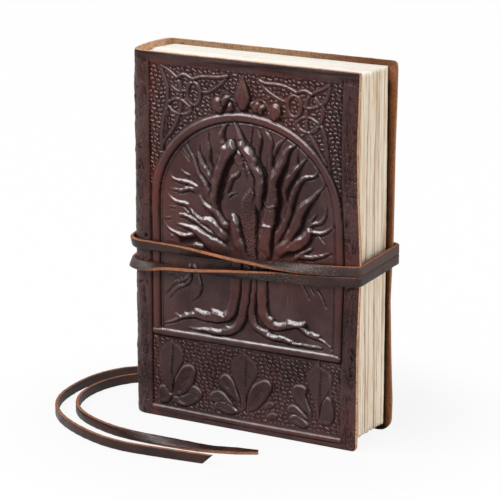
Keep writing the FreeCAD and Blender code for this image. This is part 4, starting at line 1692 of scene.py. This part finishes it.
@dataclass
class PageBlock:
    """Four sewn signatures of thick handmade paper, with torn edges."""

    book: Book
    name: str = "pages"
    leaf: float = 0.36
    signatures: int = 4
    rows: int = 92
    head_columns: int = 36
    spine_rows: int = 12
    fold_reach: float = 2.6
    seed: int = 12
    grooves: tuple[tuple[float, float, float], ...] = (
        (-15.7, 0.5, 0.35), (-13.4, 0.7, 0.55), (-10.9, 0.35, 0.35), (-8.3, 0.9, 0.45), (-5.6, 0.4, 0.3),
        (-3.6, 0.75, 0.5), (-0.4, 1.0, 0.6), (2.4, 0.4, 0.35), (4.3, 0.8, 0.5), (7.5, 0.9, 0.45),
        (10.0, 0.35, 0.35), (12.3, 0.7, 0.5), (14.6, 0.5, 0.35),
    )

    def columns(self) -> Array:
        """Columns of the mesh, three for each leaf.

        Returns:
            Places across the block.
        """
        low, high = self.page_y()
        edges = np.linspace(low, high, int((high - low) / self.leaf) + 1)
        return np.array([e + self.leaf * share for e in edges[:-1] for share in (0.12, 0.5, 0.88)])

    def page_y(self) -> Pair:
        """The block's two faces."""
        return self.book.page_low[1], self.book.page_high[1]

    def fold(self, y: Array) -> Array:
        """Find the folds along the spine.

        Args:
            y: Places across the block.

        Returns:
            X of the folds.
        """
        low, high = self.page_y()
        size = (high - low) / self.signatures
        share = ((y - low) / size) % 1.0 * 2 - 1
        centre = low + (np.floor((y - low) / size) + 0.5) * size
        inner = self.book.bow_radius - self.book.leather
        reach = np.sqrt(inner ** 2 - (centre - self.book.bow_centre) ** 2)
        base = self.book.x_spine + self.book.bow_radius - reach + 0.35
        return base + self.fold_reach * (1 - np.sqrt(np.clip(1 - (0.97 * share) ** 2, 0, 1)))

    def trench(self, y: Array, z: Array) -> Array:
        """Find the gaps between bundles of leaves on the fore-edge.

        Args:
            y: Places across the block.
            z: Heights.

        Returns:
            The gaps' depth.
        """
        depth = np.zeros(np.broadcast(y, z).shape)
        for k, (at, deep, wide) in enumerate(self.grooves):
            drift = 0.45 * np.sin(z / 31 + k * 1.7) + 0.2 * np.sin(z / 11 + k * 2.3)
            depth = np.maximum(depth, deep * np.exp(-((y - at - drift) / wide) ** 2))
        return depth

    def build(self, material: Material) -> Piece:
        """Build the block as closed rings, one for each column across it.

        Args:
            material: Paper.

        Returns:
            The piece.
        """
        rng = np.random.default_rng(self.seed)
        y = self.columns()
        leaves, across = len(y) // 3, y[:, None]
        low, high = self.book.page_low, self.book.page_high
        fore_jitter, head_jitter, foot_jitter = (
            np.repeat(rng.normal(0, size, leaves), 3)[:, None] for size in (0.16, 0.10, 0.10))
        lip = np.tile([0.10, 0.0, 0.10], leaves)[:, None]
        step = (np.floor((across - low[1]) / ((high[1] - low[1]) / self.signatures)) % 2) * 0.35

        z = np.linspace(low[2] + 0.2, high[2] - 0.2, self.rows)[None, :]
        trench = self.trench(across, z)
        fore = high[0] - 0.35 + 0.4 * waves(across, across * 0, 5, 9.0, 2) + fore_jitter - lip
        fore = fore - trench + 0.10 * waves(across * 6, z, 6, 16.0, 4)

        x_start = self.fold(y)[:, None]
        x_end = x_start + (fore[:, -1:] - x_start) * np.linspace(0, 1, self.head_columns)[None, :]
        drop = 0.5 * np.exp(-((x_end - x_start) / 1.6) ** 2)
        rough_head, rough_foot = (0.06 * waves(across * 5, x_end, seed, 18.0, 3) for seed in (7, 8))
        head = np.minimum(high[2] - 0.15 + head_jitter - lip - step - drop + rough_head, high[2] + 0.1)
        foot = low[2] + 0.15 + foot_jitter + lip + rough_foot + drop
        spine_z = foot[:, :1] + (head[:, :1] - foot[:, :1]) * np.linspace(0, 1, self.spine_rows)[None, 1:-1]
        fore_z = foot[:, -1:] + (head[:, -1:] - foot[:, -1:]) * ((z - z[0, 0]) / (z[0, -1] - z[0, 0]))

        inner = slice(-2, 0, -1)
        x = np.hstack([x_end, fore[:, inner], x_end[:, ::-1], np.broadcast_to(x_start, spine_z.shape)])
        up = np.hstack([head, fore_z[:, inner], foot[:, ::-1], spine_z])
        maker = MeshMaker()
        index = maker.add(np.stack([x, np.broadcast_to(across, x.shape), up], axis=-1))
        maker.quads(np.hstack([index, index[:, :1]]), flip=True)
        maker.face(index[0], Side.GRAIN, flip=True)
        maker.face(index[-1], Side.GRAIN)
        piece = maker.build(self.name, [material])
        # Painted shade, stored as low: the gaps between bundles of leaves, and the spine side a little.
        gaps = ease(0.12, 0.85, trench)[:, inner]
        for name, shares in (("low", (0.0, gaps, 0.0, 0.2)), ("toned", (0.1, 1.0, 1.0, 0.6))):
            parts = zip(shares, (head, gaps, foot, spine_z))
            set_attribute(piece, name, np.hstack([np.broadcast_to(mark, part.shape) for mark, part in parts]))
        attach(piece, BODY)
        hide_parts("page_block")
        return piece


# ---- the thong's tails


@dataclass
class Strip:
    """A flat leather strip of rounded-rectangle section, carried along a line."""

    width: float = 4.6
    thickness: float = 1.8
    rounding: float = 0.35

    def section(self) -> tuple[Array, list[Side]]:
        """Draw the section's outline.

        Returns:
            Points as (across the width, along the outward face's direction), and what each side shows.
        """
        w, t, r = self.width / 2, self.thickness / 2, self.rounding
        face = [(u * (w - r), t) for u in (-1.0, -0.33, 0.33, 1.0)]
        edge = [(w - 0.1, t - 0.12), (w, t - r), (w + 0.05, 0.0), (w, r - t), (w - 0.1, 0.12 - t)]
        half = np.array(face + edge)
        sides = [Side.GRAIN] * 5 + [Side.CUT] * 3 + [Side.FLESH] * 6 + [Side.CUT] * 3 + [Side.GRAIN]
        return np.vstack([half, -half]), sides

    def carry(self, maker: MeshMaker, line: Array, out: Array, seed: int, scale: Array | float = 1.0,
              slant: float = 0.0) -> Array:
        """Build the strip's skin.

        Args:
            maker: Where the mesh goes.
            line: Centreline.
            out: Direction of the grain face at each point.
            seed: Which unevenness the cut edges have.
            scale: Share of the full width at each point.
            slant: How far the last section leans along the line, from its lower to its upper edge.

        Returns:
            Grid of vertex indices, one row for each point of the line.
        """
        along = unit(np.gradient(line, axis=0))
        out = unit(out - (out * along).sum(1)[:, None] * along)
        across = np.cross(along, out)
        section, sides = self.section()
        place = distances(line)
        rough = waves(place[:, None], np.arange(len(section))[None, :] * 3.1, seed, 6.0, 3)
        edge = (np.abs(section[:, 0]) > self.width / 2 - 0.3)[None, :]
        u = section[None, :, 0] * np.broadcast_to(scale, place.shape)[:, None] * (1 + 0.03 * rough * edge)
        v = section[None, :, 1] * (1 + 0.05 * rough)
        grid = line[:, None] + across[:, None] * u[..., None] + out[:, None] * v[..., None]
        if slant:
            up = np.where(across[:, 2:3] < 0, -1.0, 1.0)
            reach = ease(place[-1] - abs(slant) * 1.2, place[-1], place)[:, None]
            shift = slant * (u * up) / self.width * reach
            grid = grid + along[:, None] * shift[..., None]
        index = maker.add(grid)
        ring = np.hstack([index, index[:, :1]])
        for k, side in enumerate(sides):
            maker.quads(ring[:, k:k + 2], side, flip=True)
        maker.face(index[0], Side.CUT)
        maker.face(index[-1], Side.CUT, flip=True)
        return index


@dataclass
class Tail:
    """A free tail of the thong, which comes down behind the book and curls round to its front."""

    name: str
    node: str
    drop: tuple[Pair, ...]
    ground: tuple[Pair, ...]
    start_y: float
    lean: float
    length: float
    seed: int
    roll: tuple[Pair, ...] = ((0.0, 0.0), (1.0, 0.0))
    narrow: tuple[Pair, ...] = ((0.0, 1.0), (1.0, 1.0))
    slant: float = 0.0
    rest: float = 2.45
    strip: Strip = field(default_factory=Strip)

    def route(self) -> Array:
        """Points that the tail bends at, from the hitch to its cut end."""
        upright = [(x, self.start_y + self.lean * (self.drop[0][0] - x), z) for x, z in self.drop]
        return np.array(upright + [(x, y, self.rest) for x, y in self.ground])

    def centreline(self) -> Array:
        """Read the smooth line that the route's points pull.

        Returns:
            Points in millimetres.
        """
        curve = bpy.data.curves.new(f"{self.name}_line", "CURVE")
        curve.dimensions = "3D"
        curve.resolution_u = 24
        spline = curve.splines.new("NURBS")
        route = self.route() * MM
        spline.points.add(len(route) - 1)
        for point, place in zip(spline.points, route):
            point.co = (*place, 1.0)
        spline.order_u = 3
        spline.use_endpoint_u = True
        holder = bpy.data.objects.new(curve.name, curve)
        mesh = bpy.data.meshes.new_from_object(holder)
        line = np.array([v.co for v in mesh.vertices]) / MM
        bpy.data.objects.remove(holder)
        bpy.data.curves.remove(curve)
        bpy.data.meshes.remove(mesh)
        return line

    def build(self, materials: Sequence[Material], wrap: Piece) -> Piece:
        """Build the tail.

        Args:
            materials: Grain, flesh and cut edge.
            wrap: The piece that it leaves; not used.

        Returns:
            The piece.
        """
        line = self.centreline()
        level = np.gradient(line, axis=0)
        level[:, 2] = 0.0
        size = np.linalg.norm(level, axis=1)
        level[:np.argmax(size > 0.3 * size.max())] = (-1.0, self.lean, 0.0)
        level = unit(level)
        out = np.stack([level[:, 1], -level[:, 0], np.zeros(len(line))], axis=1)
        share = distances(line) / distances(line)[-1]
        angle = np.radians(np.interp(share, *zip(*self.roll)))
        side = np.cross(unit(np.gradient(line, axis=0)), out)
        out = out * np.cos(angle)[:, None] + side * np.sin(angle)[:, None]
        widths = np.interp(share, *zip(*self.narrow))
        half_width, half_thick = self.strip.width / 2, self.strip.thickness / 2
        reach = half_width * widths * np.cos(angle) + half_thick * np.abs(np.sin(angle))
        line[:, 2] -= half_width - reach
        maker = MeshMaker()
        self.strip.carry(maker, line, out, self.seed, scale=widths, slant=self.slant)
        piece = maker.build(self.name, materials)
        set_attribute(piece, "scuff_glint", np.full(maker.count, 0.25))
        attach(piece, BODY)
        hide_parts(self.node)
        return piece


def make_tails() -> list[Tail]:
    """The two tails of the thong.

    Returns:
        The outer and the inner tail.
    """
    foot, rest = 77.3, Tail.rest
    outer = Tail(
        "thong_tail_outer_strip", "thong_tail_outer",
        drop=((4.0, foot), (4.0, 63.0), (-6.0, 43.0), (-22.0, 22.0), (-46.0, rest), (-71.0, rest)),
        ground=((-91.0, 33.0), (-100.3, 15.0), (-101.2, -8.0), (-96.3, -31.0), (-82.5, -50.5),
                (-60.0, -64.5), (-36.0, -72.5), (-11.5, -70.9), (12.7, -68.0)),
        start_y=24.2, lean=0.17, length=327.6, seed=3, slant=5.0,
    )
    inner = Tail(
        "thong_tail_inner_strip", "thong_tail_inner",
        drop=((8.5, foot), (8.5, 62.0), (2.0, 42.0), (-12.0, 21.0), (-35.0, rest), (-60.0, rest)),
        ground=((-80.5, 25.0), (-90.0, 10.5), (-92.3, -8.0), (-87.5, -26.5), (-76.0, -42.0),
                (-57.0, -52.0), (-36.0, -57.5), (-14.0, -56.4), (7.0, -52.8), (25.6, -44.4)),
        start_y=22.1, lean=0.08, length=314.7, seed=4,
        roll=((0.0, 0.0), (0.76, 0.0), (0.93, -80.0), (1.0, -85.0)),
        narrow=((0.0, 1.0), (0.97, 1.0), (1.0, 0.4)),
    )
    return [outer, inner]


# ---- the taut thong


@dataclass
class Wrap:
    """The doubled thong's taut part: two turns from the hitch on the back, and the bight that locks them."""

    book: Book
    name: str = "thong_wrap"
    gap: float = 0.35
    bend: float = 0.5
    strip: Strip = field(default_factory=Strip)

    def front(self, x: float) -> float:
        """Ring position of a place on the front."""
        return self.book.x_fore - x

    def back(self, x: float) -> float:
        """Ring position of a place on the back."""
        return self.book.total() - (self.book.x_fore - x)

    def span(self) -> float:
        """Length of the ring across the fore-edge."""
        return math.pi * self.bend + 2 * (self.book.half - self.bend) + 2 * self.bend

    def ring(self, r: Array) -> tuple[Array, Array]:
        """The closed line round the tied book.

        Args:
            r: Positions, from the front fore-edge round the spine and the back, and across the fore-edge.

        Returns:
            Points (x, y) on the covers' faces, and the directions outwards.
        """
        book, bend, total = self.book, self.bend, self.book.total()
        r = np.mod(r, total + self.span() - 2 * bend)
        x, y, nx, ny = book.outline(np.clip(r, bend, total - bend))
        corner, flat = math.pi / 2 * bend, 2 * (book.half - bend)
        past = r - np.where(r > total - bend, total - bend, bend)
        past = np.where(past < 0, past + 2 * corner + flat, past)
        facing = (corner - np.clip(past, 0, corner) - np.maximum(past - corner - flat, 0)) / bend
        centre_y = book.half - bend - np.clip(past - corner, 0, flat)
        beyond = (r > total - bend) | (r < bend)
        nx, ny = np.where(beyond, np.cos(facing), nx), np.where(beyond, np.sin(facing), ny)
        x = np.where(beyond, book.x_fore - bend + bend * nx, x)
        y = np.where(beyond, centre_y + bend * ny, y)
        return np.stack([x, y], axis=1), np.stack([nx, ny], axis=1)

    def turn(self, keys: Sequence[tuple[float, float, float]]) -> Array:
        """One turn round the book.

        Args:
            keys: Ring position, height and roll in degrees; 0 has the grain outwards, less turns it down.

        Returns:
            Rows of a point and the direction of the grain face.
        """
        table = np.asarray(keys, float)
        table[:, 0] += np.linspace(0, 1e-6, len(table))
        line, _ = through(table * (1.0, 1.0, 0.2), 0.12)
        r, z, roll = line[:, 0], line[:, 1], np.radians(line[:, 2] * 5.0)
        point, normal = self.ring(r)
        half_w, half_t = self.strip.width / 2, self.strip.thickness / 2
        off = half_w * np.abs(np.sin(roll)) + half_t * np.abs(np.cos(roll)) + self.gap
        place = np.column_stack([point + normal * off[:, None], z])
        out = np.column_stack([normal * np.cos(roll)[:, None], np.sin(roll)])
        return np.hstack([place, out])

    def path(self) -> Array:
        """The whole taut part, from one tail's root to the other's.

        Returns:
            Evenly spaced rows of a point and the direction of the grain face.
        """
        front, back, spine = self.front, self.back, self.book.total() / 2
        lap = self.book.total() + self.span() - 2 * self.bend
        rise = [
            (4.0, 24.2, 77.3, 0.17, 1, 0), (4.0, 24.5, 78.8, 0.1, 1, 0), (4.1, 26.0, 81.5, 0, 1, 0.25),
            (4.2, 26.9, 84.4, 0, 1, 0.1), (5.0, 26.4, 87.0, 0.2, 0.8, 0.5), (4.9, 24.2, 88.4, 0.2, 0.1, 1),
            (2.8, 21.8, 88.4, 0, 0.6, 0.8), (-1.0, 20.3, 87.9, 0, 1, 0.2), (-6.0, 20.05, 87.4, 0, 1, 0)]
        upper = [
            (back(-9.0), 87.3, 0), (back(-32.0), 87.1, 0), (back(-56.0), 86.9, 0), (spine, 85.8, -2),
            (front(-62.5), 85.1, -10), (front(-55.0), 85.0, -16), (front(-32.0), 84.8, -20),
            (front(-15.0), 84.7, -50), (front(0.0), 84.5, -78), (front(12.0), 84.5, -95),
            (front(24.0), 84.6, -122), (front(38.0), 85.0, -150), (front(50.0), 85.6, -172),
            (front(61.0), 86.5, -180), (-20.0, 87.9, -180), (back(61.0) - lap, 89.2, -180),
            (back(42.0) - lap, 89.8, -180), (back(22.0) - lap, 90.7, -180)]
        bight = [
            (20, 20.05, 90.8, 0, -1, 0), (12, 20.9, 90.8, 0, -0.75, 0.65), (5, 22.6, 90.3, 0, -0.1, 1),
            (0.5, 23.6, 89.2, -0.5, 0, 0.85), (-1.6, 23.8, 86.4, -1, 0, 0), (0.2, 23.6, 83.4, -0.5, 0, -0.85),
            (5, 22.0, 82.0, 0, 0.5, -0.85), (12, 20.5, 82.2, 0, 0.95, -0.3), (19, 20.05, 82.6, 0, 1, 0)]
        lower = [
            (back(22.0) - lap, 82.7, 0), (back(42.0) - lap, 83.7, 0), (back(61.0) - lap, 84.3, 0),
            (-20.0, 83.0, 0), (front(61.0), 81.6, -3), (front(40.0), 79.9, -9), (front(25.0), 79.25, -18),
            (front(9.0), 78.0, -34), (front(-6.5), 77.0, -52), (front(-22.5), 76.0, -76),
            (front(-33.0), 75.6, -84), (front(-41.0), 75.3, -100), (front(-47.0), 74.9, -132),
            (front(-54.0), 74.6, -152), (front(-62.0), 74.5, -160), (spine, 75.0, -176),
            (back(-57.0), 76.6, -180), (back(-32.0), 79.6, -180), (back(-12.0), 82.8, -180)]
        fall = [
            (-9.0, 20.05, 83.3, 0, -1, 0), (-3.0, 20.1, 84.4, 0, -1, 0), (1.5, 20.5, 85.4, 0.1, -0.9, 0.4),
            (4.6, 21.8, 86.0, 0.2, -0.4, 0.9), (7.4, 23.8, 85.9, 0.4, 0.1, 0.9),
            (8.7, 24.8, 84.2, 0.6, 0.7, 0.5), (8.7, 24.5, 82.0, 0.1, 1, 0.2), (8.6, 23.2, 79.8, 0, 1, 0.25),
            (8.5, 22.3, 78.4, 0.06, 1, 0), (8.5, 22.1, 77.3, 0.08, 1, 0)]
        free = [through(points, 0.15)[0] for points in (rise, bight, fall)]
        return self.even(np.vstack([free[0], self.turn(upper), free[1], self.turn(lower), free[2]]))

    @staticmethod
    def even(rows: Array, step: float = 0.75) -> Array:
        """Space rows evenly and take out small kinks.

        Args:
            rows: Rows of a point and a direction.
            step: Distance between two rows.

        Returns:
            The new rows.
        """
        size = np.linalg.norm(np.diff(rows[:, :3], axis=0), axis=1)
        rows = rows[np.concatenate([[True], size > 1e-4])]
        place = distances(rows[:, :3])
        wanted = np.linspace(0, place[-1], int(place[-1] / step))
        made = np.stack([np.interp(wanted, place, column) for column in rows.T], axis=1)
        smooth = made.copy()
        for axis in range(rows.shape[1]):
            smooth[2:-2, axis] = np.convolve(made[:, axis], (0.06, 0.24, 0.4, 0.24, 0.06), mode="valid")
        return smooth

    def build(self, materials: Sequence[Material]) -> Piece:
        """Build the taut thong.

        Args:
            materials: Grain, flesh and cut edge.

        Returns:
            The piece.
        """
        rows = self.path()
        maker = MeshMaker()
        index = self.strip.carry(maker, rows[:, :3], rows[:, 3:], 17)
        piece = maker.build(self.name, materials)
        x, y, z = rows[:, 0], rows[:, 1], rows[:, 2]
        right = ease(8, 26, x) * ease(60, 46, x) * ease(82.0, 83.5, z)
        below = ease(-8, 10, x) * ease(46, 30, x) * (z < 82)
        # Scuffs with painted glints: most on the upper band at the right of the front, less below it and at
        # the left, fewer where the thong bends round the fore-edge.
        worn = (y < -15) * (1.1 * right + 0.45 * below + 0.4 * ease(-40, -48, x) * (z < 80))
        bend = ease(self.book.x_fore - 2, self.book.x_fore + 1, x)
        scuff_glint = np.zeros(maker.count)
        scuff_glint[index] = np.clip(0.25 + worn - 0.5 * bend, 0, 1)[:, None]
        set_attribute(piece, "scuff_glint", scuff_glint)
        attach(piece, BODY)
        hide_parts("wrap_thong")
        return piece


# ---- studio


@dataclass
class Studio:
    """Pale floor, soft light and the camera."""

    camera_place: Triple = (0.60946, -1.04263, 0.39623)
    camera_pitch: float = 14.48
    camera_yaw: float = 30.511
    lens: float = 189.96
    floor_size: float = 6.0
    fill: float = 0.2
    aim: Triple = (0.0, 0.0, 0.09)

    def floor(self) -> Piece:
        """Lay the floor.

        Returns:
            The floor.
        """
        maker = MeshMaker()
        half = self.floor_size / MM / 2
        corners = [[(x, y, 0.0) for x in (-half, half)] for y in (-half, half)]
        maker.quads(maker.add(np.array(corners)))
        g = Graph("floor_paint")
        paint = {"Base Color": rgb(224, 224, 225), "Roughness": 0.9, "Specular IOR Level": 0.1}
        for name, value in paint.items():
            g.feed(g.shader.inputs[name], value)
        glow = g.node("ShaderNodeEmission", inputs={"Color": WHITE, "Strength": 1.0})
        far = g.node("ShaderNodeVectorMath", output="Value", inputs={0: g.coords}, operation="LENGTH")
        share = g.times(g.spread(far, 0.07, 0.15, 0.88, 0.99), g.seen(0.4))
        blend = g.node("ShaderNodeMixShader", inputs={0: share, 1: g.shader.outputs[0], 2: glow})
        out = next(n for n in g.tree.nodes if n.type == "OUTPUT_MATERIAL")
        g.tree.links.new(blend, out.inputs["Surface"])
        piece = maker.build("studio_floor", [g.material])
        return piece

    def world(self) -> None:
        """Light everything softly from all round."""
        world = bpy.data.worlds.new("soft_room")
        bpy.context.scene.world = world
        world.use_nodes = True
        g = Nodes(world.node_tree)
        background = g.tree.nodes["Background"].inputs
        g.feed(background["Color"], WHITE)
        g.feed(background["Strength"], g.plus(g.times(g.seen(1.0), 1.0 - self.fill), self.fill))

    def softbox(self, name: str, place: Triple, size: Pair, watts: float) -> None:
        """Hang one rectangular lamp that faces the book.

        Args:
            name: Name of the lamp.
            place: Where it hangs, in metres.
            size: Width and height in metres.
            watts: Power.
        """
        lamp = bpy.data.lights.new(name, "AREA")
        lamp.shape = "RECTANGLE"
        lamp.size, lamp.size_y = size
        lamp.energy = watts
        holder = bpy.data.objects.new(name, lamp)
        holder.location = place
        x, y, z = np.array(place) - np.array(self.aim)
        holder.rotation_euler = (math.atan2(math.hypot(x, y), z), 0.0, math.atan2(x, -y))
        bpy.context.scene.collection.objects.link(holder)

    def camera(self) -> None:
        """Set up the camera."""
        data = bpy.data.cameras.new("camera")
        data.lens = self.lens
        data.sensor_width = 36.0
        data.clip_end = 20.0
        holder = bpy.data.objects.new("camera", data)
        holder.location = self.camera_place
        holder.rotation_euler = (math.radians(90.0 - self.camera_pitch), 0.0, math.radians(self.camera_yaw))
        bpy.context.scene.collection.objects.link(holder)
        bpy.context.scene.camera = holder

    def build(self) -> None:
        """Set up the whole studio."""
        self.floor()
        self.world()
        self.softbox("key", (-0.45, -0.84, 1.04), (1.7, 0.52), 18.2)
        self.softbox("right", (1.3, 0.1, 0.5), (0.8, 0.8), 10.0)
        self.camera()
        bpy.context.scene.view_settings.view_transform = "Standard"


def main() -> None:
    """Build every piece in order."""
    logging.basicConfig(level=logging.INFO, format="%(name)s: %(message)s")
    Studio().build()
    thong = [StripGrain().material(), StripFlesh().material(),
             Suede("thong_cut", rgb(176, 116, 82), rgb(92, 52, 36)).material()]
    cut = Suede("cover_cut", rgb(236, 186, 146), rgb(112, 62, 38), fore_and_back_darkening=0.7)
    book = Book()
    pieces = [Cover(book).build([TooledLeather().material(), CoverFlesh().material(), cut.material()]),
              PageBlock(book).build(Paper().material())]
    thread = WaxedThread().material()
    for k in range(1, 5):
        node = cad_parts[f"sewing_thread_{k}"]
        node.data.materials.clear()
        node.data.materials.append(thread)
        pieces.append(node)
    wrap = Wrap(book).build(thong)
    pieces += [wrap] + [tail.build(thong, wrap) for tail in make_tails()]
    for piece in pieces:
        LOG.info("%s ready: %d faces", piece.name, len(piece.data.polygons))


if __name__ == "__main__":
    main()
